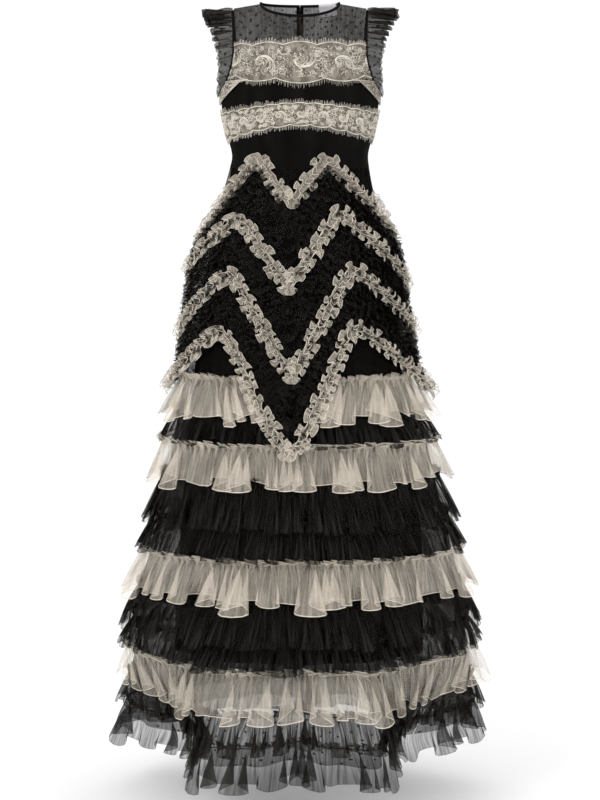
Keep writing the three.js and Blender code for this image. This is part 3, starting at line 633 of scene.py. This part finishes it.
# ---- Zigzag ruffles ----
# Four cream strips gathered along their middle and sewn on that line, over the black rows. Both edges
# stand away in small loops and have a firm rolled finish, and the middle stands up in a small fold.
LOOP = 0.0190
LOOP_SAMPLES = 14
STAND = 0.0065
SPREAD = 0.0112
SWAY_OF_LOOP = 0.0050
FOLD_STAND = 0.0115
FOLD_SWAY = 0.0056
SWING = 0.0044
SIDE_STAND = 0.003
FIRST_LIFT = 0.005
LIFT = 0.012
POINT_EASE = 18
PEAK_EASE = 100
EDGE_RADIUS = 0.00055
# Back point, back peak, right side, front peak, front point, front peak, left side, back peak, back point
ZIGZAG_TURNS = [
    (-180, -135, -90, -41, -5.5, 25, 90, 135, 180),
    (-180, -135, -90, -41, -5.0, 29.5, 90, 135, 180),
    (-180, -135, -90, -41.5, -3.5, 35, 90, 135, 180),
    (-180, -135, -90, -45.5, -4.5, 35, 90, 135, 180),
]
ZIGZAG_HEIGHTS = [
    (-0.354, -0.272, -0.428, -0.266, -0.349, -0.269, -0.412, -0.272, -0.354),
    (-0.501, -0.368, -0.474, -0.369, -0.494, -0.360, -0.503, -0.368, -0.501),
    (-0.652, -0.462, -0.588, -0.464, -0.650, -0.457, -0.584, -0.462, -0.652),
    (-0.786, -0.563, -0.680, -0.563, -0.788, -0.556, -0.690, -0.563, -0.786),
]
# How far the tiers below hold a strip off the skirt: height, distance
TIER_COVER = np.array([(-1.3, 0.021), (-0.725, 0.021), (-0.64, 0.0), (-0.2, 0.0)])


def zigzag_line(k, turn):
    return np.interp(turn, ZIGZAG_TURNS[k], ZIGZAG_HEIGHTS[k])


def rounded(values, reach):
    """Running average of a closed ring of values."""
    weights = np.hanning(2 * reach + 3)
    wide = np.concatenate([values[-reach - 1:], values, values[:reach + 1]])
    return np.convolve(wide, weights / weights.sum(), "valid")


def frill_path(height, lift, loop, samples):
    """Even steps along a line round the skirt, with their forward, outward and upward directions."""
    turns = np.linspace(-180, 180, 4000, endpoint=False)
    heights = np.minimum(rounded(height(turns), POINT_EASE), rounded(height(turns), PEAK_EASE))
    places = on_dress(turns, heights, lift + np.interp(heights, TIER_COVER[:, 0], TIER_COVER[:, 1]))
    closed = np.concatenate([places, places[:1]])
    along = distance_along(closed)
    loops = int(round(along[-1] / loop))
    points = points_at(np.linspace(0, along[-1], loops * samples + 1), along, closed)
    ahead = np.roll(points[:-1], -1, axis=0) - np.roll(points[:-1], 1, axis=0)
    ahead = unit(np.concatenate([ahead, ahead[:1]]))
    outward = unit(points * (1, 1, 0))
    upward = unit(np.cross(outward, ahead))
    return points, ahead, outward, upward, loops


def frill_half(path, side, stand, spread, sway, swing, seed, shift=0.0, rows=6):
    """Half of a gathered strip, from its stitched line to its free edge. Side is 1 above and -1 below."""
    points, ahead, outward, upward, loops = path
    draw = np.random.default_rng(seed)
    s = np.linspace(0, 1, len(points))
    phase = 2 * np.pi * loops * s + 2.4 * wander(s, draw, 3, loops // 2) + shift
    size = np.clip(1 + 0.5 * wander(s, draw, 5, loops), 0.3, 1.8)
    lean = 0.8 * wander(s, draw, 5, loops)
    width = np.linspace(0, 1, rows)[:, None]
    at_side = np.abs(outward[:, 0]) ** 6
    up = side * (width * spread + sway * size * np.cos(phase + lean * width) * width ** 0.8)
    out = (stand + SIDE_STAND * at_side) * np.sin(width * 1.9) * (1 + 0.45 * np.cos(phase + 1.3))
    out += 0.0018 * wander(s, draw, loops // 2, loops * 2) * width
    on = width ** 0.8 * swing * size * np.sin(2 * phase + lean)
    return points + upward * up[..., None] + outward * out[..., None] + ahead * on[..., None]


ZIGZAG_TULLE = tulle("cream frill tulle", TULLE_CREAM, 0.33, 6, streak=0.26, light=1.40)
for k in range(4):
    lift = FIRST_LIFT if k == 0 else LIFT
    path = frill_path(lambda turn: zigzag_line(k, turn), lift, LOOP, LOOP_SAMPLES)
    halves = []
    for side in (1, -1):
        seed = 500 + 10 * k + side
        halves.append(frill_half(path, side, STAND, SPREAD, SWAY_OF_LOOP, SWING, seed, side * np.pi / 2))
    middle_fold = frill_half(path, 1, FOLD_STAND, 0.0, FOLD_SWAY, SWING, 560 + k, rows=2)[-1]
    lines = [halves[0][-1], halves[1][-1], middle_fold]
    edge = tube_piece(f"zigzag_edge_{k + 1}", lines, EDGE_RADIUS, CREAM_EDGE, sides=3)
    dress_piece(edge, "cream_tulle")
    strip = sheet_piece(f"zigzag_frill_{k + 1}", halves, ZIGZAG_TULLE)
    dress_piece(strip, "cream_tulle", f"zigzag_{k + 1}")
    cut_length(halves[0])
    2 * cut_width(halves[0])

# ---- Black frills ----
# Rows of narrow black tulle between the zigzags, sewn on along their upper edge so close together that
# the free edges make one deep curly pile. Three rows are one piece, and there are two pieces in each band.
FRILL_BLACK = (0.0090, 0.0080, 0.0070, 1)
BLACK_FRILL_TULLE = tulle("black frill tulle", FRILL_BLACK, 0.50, 7, streak=0.6, light=2.2)
ROWS_IN_PIECE = 3
FIRST_ROW = 0.35
BLACK_LIFT = 0.003
BLACK_LOOP = 0.0155
BLACK_LOOP_SAMPLES = 11
BLACK_STAND = 0.012
BLACK_SPREAD = 0.0125
BLACK_SWAY = 0.0060
BLACK_SWING = 0.0050


def between_zigzags(band, share, turn):
    """Height of a line at a share of the way from one zigzag to the next."""
    return zigzag_line(band, turn) * (1 - share) + zigzag_line(band + 1, turn) * share


for band in range(3):
    for half_band in range(2):
        rows = []
        for row in range(half_band * ROWS_IN_PIECE, (half_band + 1) * ROWS_IN_PIECE):
            share = (row + FIRST_ROW) / (2 * ROWS_IN_PIECE)
            path = frill_path(lambda turn: between_zigzags(band, share, turn), BLACK_LIFT, BLACK_LOOP,
                              BLACK_LOOP_SAMPLES)
            seed = 700 + 100 * band + 10 * row
            grid = frill_half(path, -1, BLACK_STAND, BLACK_SPREAD, BLACK_SWAY, BLACK_SWING, seed, rows=4)
            rows.append(grid)
        number = 2 * band + half_band + 1
        node = f"black_ruffle_{number}"
        gathered_piece(f"black_frills_{number}", rows, BLACK_FRILL_TULLE, "black_tulle", node)

# ---- Raw edges of the frills ----
# The edges of the narrow black frills are cut and left raw. They fray into short curled threads, which
# soften the whole upper skirt and stand out as a fuzz at its sides, cream beside the ends of the zigzags.
FRAY_REACH = (0.007, 0.019)
FRAY_RADIUS = 0.00048
FRAY_CURL = 0.006
FRAY_START = 0.007
SKIRT_RADIUS = 0.18
SIDE_TURNS = (58, 122)


def frayed_threads(count, seed, height, sides_only):
    """Curled threads that start at heights drawn by height, all round the skirt or at its sides only."""
    draw = np.random.default_rng(seed)
    threads = []
    for _ in range(count):
        turn = draw.uniform(*SIDE_TURNS) * draw.choice((-1, 1)) if sides_only else draw.uniform(-180, 180)
        z = height(turn, draw)
        t = np.linspace(0, 1, 4)
        bend, spin, reach = draw.uniform(1.5, 4.0), draw.uniform(0, 2 * np.pi), draw.uniform(*FRAY_REACH)
        side = FRAY_CURL * np.sin(bend * t) * np.cos(spin)
        up = FRAY_CURL * np.sin(bend * t) * np.sin(spin)
        threads.append(on_dress(turn + np.degrees(side / SKIRT_RADIUS), z + up, FRAY_START + reach * t))
    return threads


def on_skirt(turn, draw):
    top, bottom = zigzag_line(0, turn), zigzag_line(3, turn)
    return top + (bottom - top) * draw.uniform(0.02, 1.0)


def by_zigzags(turn, draw):
    return zigzag_line(draw.integers(0, 4), turn) + draw.uniform(-0.012, 0.012)


for name, slot, count, seed, height, sides_only, material in (
    ("black_frayed_threads", "black_tulle", 1300, 901, on_skirt, False, BLACK_THREAD),
    ("black_side_threads", "black_tulle", 1100, 902, on_skirt, True, BLACK_THREAD),
    ("cream_side_threads", "cream_tulle", 420, 903, by_zigzags, True, CREAM_EDGE),
):
    lines = frayed_threads(count, seed, height, sides_only)
    dress_piece(tube_piece(name, lines, FRAY_RADIUS, material, sides=3), slot)

# ---- Yoke ----
# Sheer dotted tulle from the round neck over the shoulders to the bodice, seamed along the shoulders
# and parted at the centre back for the zip.
YOKE_FRONT_WIDTH = 0.30
YOKE_BACK_WIDTH = 0.145
YOKE_FRONT_DEPTH = 0.108
YOKE_BACK_DEPTH = 0.092
NECK_HALF = 0.071
NECK_POINT_Z = 0.0025
SHOULDER_HALF = 0.118
SHOULDER_DROP = 0.008
SHOULDER_SET = 0.00135
# How far the neck reaches forward or back, and how far it drops
NECK_FRONT = (0.062, 0.027)
NECK_BACK = (0.045, 0.002)
# Half width of the yoke at each height
ARMHOLE_EDGE = np.array([
    (-0.138, 0.128), (-0.098, 0.117), (-0.058, 0.1155), (-0.003, 0.118), (0.006, 0.118),
])


def yoke_half(z):
    return smooth(ARMHOLE_EDGE[:, 0], ARMHOLE_EDGE[:, 1], z)


def yoke_top(share, is_front):
    """Height of the yoke's top edge and how far in towards the middle of the neck it lies."""
    drop = (NECK_FRONT if is_front else NECK_BACK)[1]
    top_x = np.abs(share) * SHOULDER_HALF
    inside = np.sqrt(np.clip(1 - (top_x / NECK_HALF) ** 2, 0, 1))
    past = np.clip(top_x - NECK_HALF, 0, None) / (SHOULDER_HALF - NECK_HALF)
    return NECK_POINT_Z - drop * inside - SHOULDER_DROP * past, inside


def on_yoke(share, z, is_front, lift=0.0):
    """Point of the yoke at a share of its half width and a height."""
    top, inside = yoke_top(share, is_front)
    fall = np.clip((z - top) / (YOKE_HEM_Z - top), 0, 1)
    depth = YOKE_FRONT_DEPTH if is_front else YOKE_BACK_DEPTH
    hem_depth = depth * np.sqrt(np.clip(1 - (share * 0.129 / 0.139) ** 2, 0, 1))
    neck_depth = (NECK_FRONT if is_front else NECK_BACK)[0] * inside + SHOULDER_SET
    bulge = np.sin(fall * np.pi / 2) ** 0.75
    out = neck_depth * (1 - bulge) + hem_depth * bulge + lift
    x = share * yoke_half(z) * (1 + lift * 3)
    return np.stack([x + 0 * out, out * (-1 if is_front else 1), z + 0 * out], axis=-1)


NECK_SHARE = NECK_HALF / SHOULDER_HALF
NECK_SWEEP = NECK_SHARE * np.sin(np.linspace(0, np.pi / 2, 40))
HALF_SHARES = np.concatenate([NECK_SWEEP, np.linspace(NECK_SHARE, 1, 24)[1:]])
YOKE_BLACK = (0.0068, 0.0056, 0.0044, 1)
YOKE_DOTS = (0.0165, 0.0027)
YOKE_TULLE = tulle("yoke tulle", YOKE_BLACK, 0.57, 11, dots=YOKE_DOTS, light=4)
BACK_YOKE_TULLE = tulle("back yoke tulle", YOKE_BLACK, 0.845, 11, dots=YOKE_DOTS, light=4)
for name, shares, is_front in (
    ("front", np.concatenate([-HALF_SHARES[:0:-1], HALF_SHARES]), True),
    ("back_left", HALF_SHARES[::-1] * 0.998 + 0.0015, False),
    ("back_right", -HALF_SHARES * 0.998 - 0.0015, False),
):
    fall = np.linspace(0, 1, 34)[:, None]
    top = yoke_top(shares, is_front)[0]
    heights = top * (1 - fall) + YOKE_HEM_Z * fall
    grid = on_yoke(shares + 0 * fall, heights, is_front)
    piece = sheet_piece(f"yoke_net_{name}", [grid], YOKE_TULLE if is_front else BACK_YOKE_TULLE)
    dress_piece(piece, "black_tulle", f"yoke_{name}")
    width = YOKE_FRONT_WIDTH if is_front else YOKE_BACK_WIDTH

# ---- Neck and armhole bindings ----
# Narrow strips of black satin, folded over the raw edges of the yoke and stitched down: one round the
# neck, open at the zip, and one round each armhole.
BINDING_RADIUS = 0.0025
BINDING_OUT = 0.0021
NECK_LEAN = 0.06


def satin():
    finish = Finish("black satin binding")
    place, along = finish.cloth_map()[:2]
    stitches = (along * 1900).sine().fade(0.75, 0.95) * 0.6
    weave = finish.noise(place, 700, 1, (0.3, 2, 1))
    bump = finish.bump(0.35, 0.0004, weave - stitches)
    shade = finish.between(weave.fade(0.3, 0.8), (0.004, 0.0037, 0.0035, 1), (0.010, 0.0095, 0.009, 1))
    return finish.surface({"Base Color": shade, "Roughness": 0.7, "Normal": bump, "IOR": 1.08})


SATIN = satin()
front_neck = np.concatenate([-NECK_SWEEP[:0:-1], NECK_SWEEP])
front_edge = on_yoke(front_neck, yoke_top(front_neck, True)[0], True)
back_neck = NECK_SWEEP[::-1]
back_edge = on_yoke(back_neck, yoke_top(back_neck, False)[0], False)
back_edge[-1, 0] = 0.0004
neck_edge = np.concatenate([back_edge[::-1] * (-1, 1, 1), front_edge[1:-1], back_edge])
neck_inward = np.concatenate([-neck_edge[:, :2], np.full((len(neck_edge), 1), NECK_LEAN)], axis=1)
neck_line = neck_edge + unit(neck_inward) * BINDING_OUT
piece = tube_piece("neck_binding_satin", [neck_line], BINDING_RADIUS, SATIN, sides=10)
dress_piece(piece, "black_cloth", "neck_binding")


def armhole_line():
    """The left armhole's edge: up the front, over the shoulder, down the back and round the underarm."""
    rise = np.linspace(1, 0, 30)
    top = yoke_top(1.0, True)[0]
    heights = top * (1 - rise) + YOKE_HEM_Z * rise
    one = np.ones_like(rise)
    front = on_yoke(one, heights, True)
    back = on_yoke(one, heights[::-1], False)
    under_turns = np.linspace(106, 74, 14)
    under = on_dress(under_turns, bodice_top(under_turns))
    return np.concatenate([front[:-1], back[1:], under])


def evenly(line, count, closed=False):
    line = np.concatenate([line, line[:1]]) if closed else line
    along = distance_along(line)
    return points_at(np.linspace(0, along[-1], count), along, line)


def relaxed(line, reach):
    """A closed line with its corners eased."""
    ring = np.stack([rounded(line[:-1, axis], reach) for axis in range(3)], axis=-1)
    return np.concatenate([ring, ring[:1]])


armhole = relaxed(evenly(armhole_line(), 241, closed=True), 5)
armhole[:, 0] += 0.8 * BINDING_OUT
for name, flip in SIDES:
    lines = [armhole * (flip, 1, 1)]
    piece = tube_piece(f"armhole_binding_{name}_satin", lines, BINDING_RADIUS, SATIN, sides=10)
    dress_piece(piece, "black_cloth", f"armhole_binding_{name}")

# ---- Flutter sleeves ----
# A gathered strip of dotted tulle on each armhole, wide over the shoulder and narrow at the underarm.
# It stands out in stacked flutes over the shoulder and hangs nearly flat below.
SLEEVE_BLACK = (0.014, 0.0128, 0.0112, 1)
SLEEVE_FLUTES = 22
# How wide the strip is at each height
SLEEVE_REACH = np.array([
    (-0.160, 0.002), (-0.138, 0.015), (-0.090, 0.028), (-0.045, 0.036), (-0.018, 0.046), (0.0, 0.056),
])
SLEEVE_TULLE = tulle("sleeve tulle", SLEEVE_BLACK, 0.70, 13, mesh=0.0019, dots=(0.0150, 0.0024),
                     streak=0.6, hem=0.0009, light=1.8)


def sleeve_grid(seed):
    draw = np.random.default_rng(seed)
    over = evenly(armhole[armhole[:, 2] > -0.156], SLEEVE_FLUTES * 24 + 1)
    s = np.linspace(0, 1, len(over))
    ahead = unit(np.gradient(over, axis=0))
    across = unit(np.cross(ahead, (1, 0, 0)))
    height = np.clip((over[:, 2] + 0.110) / 0.085, 0, 1)
    height = height * height * (3 - 2 * height)
    w = np.concatenate([[0, 0.04, 0.10, 0.18], np.linspace(0.28, 1, 9)])[:, None]
    crowd = np.cumsum(0.30 + 0.70 * height)
    phase = 2 * np.pi * SLEEVE_FLUTES * crowd / crowd[-1] + 1.6 * wander(s, draw, 2, 14)
    size = np.clip(1 + 0.4 * wander(s, draw, 4, 26), 0.3, 1.7) * (0.22 + 0.78 * height)
    lean = 0.8 * wander(s, draw, 3, 20) * w
    reach = smooth(SLEEVE_REACH[:, 0], SLEEVE_REACH[:, 1], over[:, 2])
    reach = reach * (1 + (0.05 * wander(s, draw, 8, 40) + 0.10 * height * np.cos(phase)) * w)
    wave = 0.0076 * size * w ** 0.35 * np.cos(phase + lean)
    fold = 0.0032 * size * w ** 0.35 * np.sin(2 * phase + lean)
    sag = -0.06 * reach * w ** 2 - 0.006 * w * (1 - height)
    grid = over + across * wave[..., None] + ahead * fold[..., None]
    grid[..., 0] += 0.0022 + reach * w * (1 - 0.10 * w * (1 - height))
    grid[..., 2] += sag
    return grid


def shoulder_fold(seed):
    """The first pleat, folded double over the shoulder."""
    draw = np.random.default_rng(seed)
    around = np.linspace(-1, 1, 21)
    w = np.linspace(0, 1, 16)[:, None]
    drop = 0.0080 * np.abs(around) ** 1.3 + 0.0006 * wander((around + 1) / 2, draw, 2, 6)
    x = SHOULDER_HALF + 0.002 + SLEEVE_REACH[-1, 1] * w * (1 - 0.05 * np.abs(around))
    y = 0.014 * np.sin(around * np.pi / 2) + 0 * w
    z = NECK_POINT_Z - SHOULDER_DROP + 0.001 - drop - 0.0035 * w ** 2 + 0.0015 * np.sin(w * 9 + 2 * around)
    return np.stack([x + 0 * y, y, z + 0 * y], axis=-1)


for name, flip in SIDES:
    grid = sleeve_grid(21 if flip > 0 else 22) * (flip, 1, 1)
    fold = shoulder_fold(23 + flip) * (flip, 1, 1)
    piece = sheet_piece(f"flutter_sleeve_{name}", [grid, fold], SLEEVE_TULLE)
    dress_piece(piece, "black_tulle", f"sleeve_ruffle_{name}")
    round(cut_length(grid), 2)
    round(cut_width(grid), 3)

# ---- Lace bands ----
# Cream lace over the sheer yoke and over the bodice: a net ground worked with corded scrolls, leaves and
# flowers of a common kind, scalloped edges bound with a cord, and fine lashes beyond the edges.
CORD = 0.0008
BAR = 0.00042
LASH = 0.00034
BARS_PER_AREA = 42000
LASH_PITCH = 0.0021
LEAVES = 14
LACE_LIFT = 0.0022
# size as a share of the band's height, turns
SCROLLS = ((0.46, 0.58), (0.42, 0.62), (0.34, 0.85), (0.30, 0.90), (0.20, 1.2), (0.12, 1.0))
# place along the repeat, height above the middle, size, petals
FLOWERS = (
    (0.50, 0.10, 0.19, 6), (0.40, -0.30, 0.13, 5), (0.60, -0.28, 0.12, 5),
    (0.30, 0.38, 0.09, 5), (0.70, 0.36, 0.09, 5), (0.02, 0.40, 0.07, 5),
)


def lace_ground():
    finish = Finish("lace ground net")
    place, along, across = finish.cloth_map()
    threads = net_threads(along, across, 0.0019)
    clouds = finish.noise(place, 75, 3)
    shade = finish.between(clouds.fade(0.35, 0.65), (0.18, 0.157, 0.128, 1), (0.27, 0.238, 0.196, 1))
    alpha = threads * 0.22 + clouds.fade(0.38, 0.62) * 0.18 + 0.58
    sockets = {"Base Color": shade, "Roughness": 0.9, "Alpha": alpha.least(0.95), "Specular IOR Level": 0.1}
    return finish.surface(sockets)


LACE_GROUND = lace_ground()
LACE_CORD = thread_finish("lace cord", (0.57, 0.52, 0.44, 1), (0.86, 0.81, 0.715, 1))


def turned(x, y, along, across, angle):
    """Line at x and y whose own directions are turned by angle."""
    return np.stack([x + along * np.cos(angle) - across * np.sin(angle),
                     y + along * np.sin(angle) + across * np.cos(angle)], axis=-1)


def round_line(x, y, radius, angle):
    return np.stack([x + radius * np.cos(angle), y + radius * np.sin(angle)], axis=-1)


def scroll(size, start, turns, way):
    t = np.linspace(0, 1, 22)
    return round_line(0, 0, size * (1 - 0.82 * t ** 0.8), start + way * 2 * np.pi * turns * t)


def leaf(x, y, length, width, angle):
    t = np.linspace(0, 2 * np.pi, 16)
    across = width / 2 * np.sin(t) * np.sin(t / 2) ** 0.6
    return turned(x, y, length / 2 * (1 - np.cos(t)), across, angle)


def flower(x, y, size, petals, spin):
    t = np.linspace(0, 2 * np.pi, 9 * petals + 1)
    radius = size * (0.50 + 0.50 * np.abs(np.cos(petals * (t + spin) / 2)))
    return [round_line(x, y, radius, t), round_line(x, y, size * 0.28, t[::3])]


def lace_pattern(start, end, tall, repeat, seed):
    """Cords and fine bars of the pattern, in metres along and up the band."""
    draw = np.random.default_rng(seed)
    middle = tall * 0.5
    lines = []
    for k in range(int(np.floor(start / repeat)) - 1, int(np.ceil(end / repeat)) + 2):
        x = k * repeat
        up = 1 if k % 2 else -1
        for size, turns in SCROLLS:
            arc = scroll(tall * size, -0.6 * up, turns, up)
            lines.append(arc * (repeat / tall, 1) + (x, middle - up * tall * 0.05))
        for at, high, size, petals in FLOWERS:
            spin = draw.uniform(0, 1)
            lines += flower(x + repeat * at, middle + up * tall * high, tall * size, petals, spin)
        for _ in range(LEAVES):
            at, high = draw.uniform(-0.5, 0.5), draw.uniform(-0.42, 0.42)
            length, width = tall * draw.uniform(0.12, 0.18), tall * draw.uniform(0.05, 0.08)
            angle = draw.uniform(0, 2 * np.pi)
            lines.append(leaf(x + repeat * at, middle + high * tall, length, width, angle))
    bars = []
    t = np.linspace(-1, 1, 4)
    for _ in range(int((end - start) * tall * BARS_PER_AREA)):
        x, y = draw.uniform(start, end), draw.uniform(0.02, 0.98) * tall
        angle, reach = draw.uniform(0, np.pi), draw.uniform(0.0012, 0.0026)
        bend = draw.uniform(-0.0010, 0.0010)
        bars.append(turned(x, y, reach * t, bend * t ** 2, angle))
    return lines, bars


def lace_band(name, place, start, end, tall, repeat, scallop, deep, seed):
    """Ground and cords of one band. Place turns metres along and up the band into a point on the dress."""
    draw = np.random.default_rng(seed)
    u = np.linspace(start, end, 180)

    def bottom(along):
        return -deep * np.abs(np.cos(np.pi * along / scallop)) ** 0.8

    def top(along):
        return tall + 0.7 * deep * np.abs(np.cos(np.pi * along / scallop * 1.32)) ** 0.8

    share = np.linspace(0, 1, 9)[:, None]
    height = top(u) * (1 - share) + bottom(u) * share
    ground = sheet_piece(f"lace_net_{name}", [place(u + 0 * share, height, LACE_LIFT)], LACE_GROUND)
    dress_piece(ground, "cream_lace", f"lace_{name}")
    cords, radii = [], []
    for lines, radius in zip(lace_pattern(start, end, tall, repeat, seed), (CORD, BAR)):
        for line in lines:
            line = line[(line[:, 0] > start) & (line[:, 0] < end) & (line[:, 1] > 0) & (line[:, 1] < tall)]
            if len(line) > 3:
                cords.append(place(line[:, 0], line[:, 1], LACE_LIFT + CORD))
                radii.append(radius)
    borders = [place(u, edge(u), LACE_LIFT + CORD) for edge in (bottom, top)]
    lashes = []
    t = np.linspace(0, 1, 4)
    for edge, way in ((bottom, -1), (top, 1)):
        for at in np.arange(start, end, LASH_PITCH):
            lean = draw.uniform(-0.0016, 0.0016)
            reach = way * draw.uniform(0.0040, 0.0100) * t
            lashes.append(place(at + lean * t, edge(at) + reach, LACE_LIFT + 0.0012 * t))
    for part, lines, radius, sides in (
        ("cords", cords, radii, 3),
        ("borders", borders, CORD, 5),
        ("lashes", lashes, LASH, 3),
    ):
        dress_piece(tube_piece(f"lace_{part}_{name}", lines, radius, LACE_CORD, sides), "cream_lace")
    round(abs(end - start), 3)
    round(tall * 1.1, 3)
    "yoke_net_front" if "upper" in name else "bodice_cloth_front"


UPPER_TALL = 0.058
LOWER_TALL = 0.041


def upper_place(is_front, flip):
    """Places on the yoke, from metres along from its centre line and up the band."""
    shares = np.linspace(0, 1, 80)
    along = distance_along(on_yoke(shares, -0.105 + 0 * shares, is_front))

    def place(p, q, lift):
        share = np.sign(p) * np.interp(np.abs(p), along, shares)
        z = -0.134 + q + 0.010 * np.abs(share) ** 2 * (1 - q / UPPER_TALL)
        return on_yoke(share, z, is_front, lift) * (flip, 1, 1)
    return place, along[-1]


def lower_place(is_front, flip):
    """Places on the bodice, along the curved seam above the waist panel."""
    turns = np.linspace(0, 90, 80) if is_front else np.linspace(180, 90, 80)
    along = distance_along(on_dress(turns, -0.21 + 0 * turns))

    def place(p, q, lift):
        turn = np.sign(p) * np.interp(np.abs(p), along, turns)
        sideways = np.sin(np.radians(turn)) ** 2
        z = lace_seam(turn) - 0.001 + 0.005 * sideways + q * (0.84 + 0.12 * sideways)
        return on_dress(turn, z, lift) * (flip, 1, 1)
    return place, along[-1]


# band, its place, height, repeat, scallop, depth of a scallop
for band, place_of, *sizes in (
    ("upper", upper_place, UPPER_TALL, 0.072, 0.080, 0.0085),
    ("lower", lower_place, LOWER_TALL, 0.036, 0.034, 0.0040),
):
    place, reach = place_of(True, 1)
    lace_band(f"{band}_front", place, -reach * 0.998, reach * 0.998, *sizes, 31)
    for side, flip in SIDES:
        place, reach = place_of(False, flip)
        lace_band(f"{band}_back_{side}", place, 0.001, reach * 0.998, *sizes, 33)

# The upper lace narrows into a strip along each armhole, down to the underarm.
STRIP_START_X = 0.100
STRIP_START_Z = -0.136
STRIP_RISE = 0.0035
STRIP_CORD = 0.0005
STRIP_BARS = 110
for side, flip in SIDES:
    for face, turn_from in (("front", 47), ("back", 133)):
        turns = np.linspace(turn_from, 90, 26) * flip
        share = np.linspace(0, 1, 6)[:, None]
        along = np.linspace(0, 1, 26)
        low = STRIP_START_Z - (np.abs(on_dress(turns, -0.15)[:, 0]) - STRIP_START_X)
        width = np.maximum(bodice_top(turns) - low, 0.002)
        top = bodice_top(turns) + STRIP_RISE * (1 - along)
        grid = on_dress(turns + 0 * share, top - width * share, LACE_LIFT)
        strip = sheet_piece(f"lace_strip_{face}_{side}", [grid], LACE_GROUND)
        draw = np.random.default_rng(61 + turn_from)

        def strip_place(at, row):
            z = np.interp(at, along, top) - np.interp(at, along, width) * row
            return on_dress(np.interp(at, along, turns), z, LACE_LIFT + CORD)

        cords = [strip_place(along, row) for row in (0.0, 0.12, 0.9, 1.0)]
        t = np.linspace(-1, 1, 5)
        for _ in range(STRIP_BARS):
            at, row, bend = draw.uniform(0.02, 0.98), draw.uniform(0.1, 0.9), draw.uniform(-0.09, 0.09)
            arch = draw.choice((-0.1, 0.1)) * t ** 2
            cords.append(strip_place(np.clip(at + 0.035 * t, 0, 1), row + bend * t + arch))
        lattice = tube_piece(f"lace_strip_cords_{face}_{side}", cords, STRIP_CORD, LACE_CORD, sides=3)
        dress_piece(strip, "cream_lace")
        dress_piece(lattice, "cream_lace")

# ---- Zip ----
# A concealed zip at the centre back, from the neck to the hips: a woven tape on each side, a nylon coil
# between them, and a dark metal slider with a pull tab.
ZIP_TOP_Z = 0.0015
ZIP_END_Z = -0.392
TAPE_HALF = 0.0062
TAPE_INSIDE = -0.0030
COIL_PITCH = 0.0016
COIL_HALF = 0.0013
COIL_WIRE = 0.0004
COIL_SAMPLES = 6


def zip_place(x, z, lift):
    """A place along the centre back, behind the cloth by lift."""
    z = np.asarray(z, float)
    yoke = on_yoke(0 * z, np.maximum(z, YOKE_HEM_Z), False, lift)[..., 1]
    below = on_dress(180.0, np.minimum(z, YOKE_HEM_Z), lift)[..., 1]
    y = np.where(z > YOKE_HEM_Z, yoke, below)
    return np.stack([x + 0 * z, y, z], axis=-1)


def metal():
    finish = Finish("dark zip metal")
    place = finish.node("ShaderNodeTexCoord", {}, {}, 3)
    wear = finish.noise(place, 900, 2)
    shade = finish.between(wear.fade(0.35, 0.7), (0.05, 0.048, 0.045, 1), (0.11, 0.105, 0.10, 1))
    return finish.surface({"Base Color": shade, "Metallic": 0.9, "Roughness": 0.38})


for name, flip in SIDES:
    across = np.linspace(0.0005, TAPE_HALF, 5) * flip
    rows, columns = np.meshgrid(np.linspace(ZIP_TOP_Z, ZIP_END_Z, 90), across)
    tape = sheet_piece(f"zip_tape_cloth_{name}", [zip_place(columns, rows, TAPE_INSIDE)], BLACK_CLOTH)
    dress_piece(tape, "black_cloth", f"zip_tape_{name}")
coil_turns = (ZIP_TOP_Z - ZIP_END_Z) / COIL_PITCH
turns = np.linspace(0, coil_turns, int(coil_turns) * COIL_SAMPLES)
coil = zip_place(COIL_HALF * np.cos(2 * np.pi * turns), ZIP_TOP_Z - turns * COIL_PITCH, TAPE_INSIDE + 0.0011)
coil[:, 1] += 0.0005 * np.sin(2 * np.pi * turns)
dress_piece(tube_piece("zip_coil", [coil], COIL_WIRE, BLACK_CLOTH), "black_cloth")
DARK_METAL = metal()
for name in ("zip_slider", "zip_pull_tab"):
    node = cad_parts[name]
    for slot in node.material_slots:
        slot.material = DARK_METAL

# ---- Neck label ----
# A small blank label of white woven satin, inside the back of the neck beside the zip.
# It lies against the yoke and is sewn on by a row of stitches at each end.
LABEL_SPAN = (0.034, 0.066)
LABEL_TALL = 0.021
LABEL_TILT = 0.10
LABEL_RISE = 0.0042
LABEL_INSIDE = -0.0058
STITCH_INSIDE = -0.0062


def label_cloth():
    finish = Finish("white label satin")
    place = finish.cloth_map()[0]
    weave = finish.noise(place, 900, 1, (0.3, 2, 1))
    bump = finish.bump(0.2, 0.0003, weave)
    shade = finish.between(weave.fade(0.3, 0.8), (0.72, 0.69, 0.73, 1), (0.86, 0.84, 0.87, 1))
    return finish.surface({"Base Color": shade, "Roughness": 0.5, "Normal": bump})


def on_label(x, down, lift):
    """A place inside the back yoke, at a distance down from the label's top edge."""
    top = yoke_top(x / SHOULDER_HALF, False)[0] + LABEL_RISE
    slid = x + LABEL_TILT * down
    return on_yoke(slid / SHOULDER_HALF, top - down, False, lift)


across_label, down_label = np.meshgrid(np.linspace(*LABEL_SPAN, 16), np.linspace(0, LABEL_TALL, 10))
label = sheet_piece("blank_label", [on_label(across_label, down_label, LABEL_INSIDE)], label_cloth())
dress_piece(label, "label_cloth", "neck_label")
stitch_lines = []
for x in (LABEL_SPAN[0] + 0.0015, LABEL_SPAN[1] - 0.0015):
    for start in np.arange(0.001, LABEL_TALL - 0.002, 0.0028):
        down = np.linspace(start, start + 0.0018, 4)
        stitch_lines.append(on_label(x + 0 * down, down, STITCH_INSIDE))
stitches = tube_piece("label_stitches", stitch_lines, 0.0003, LACE_CORD, sides=5)
dress_piece(stitches, "label_cloth")
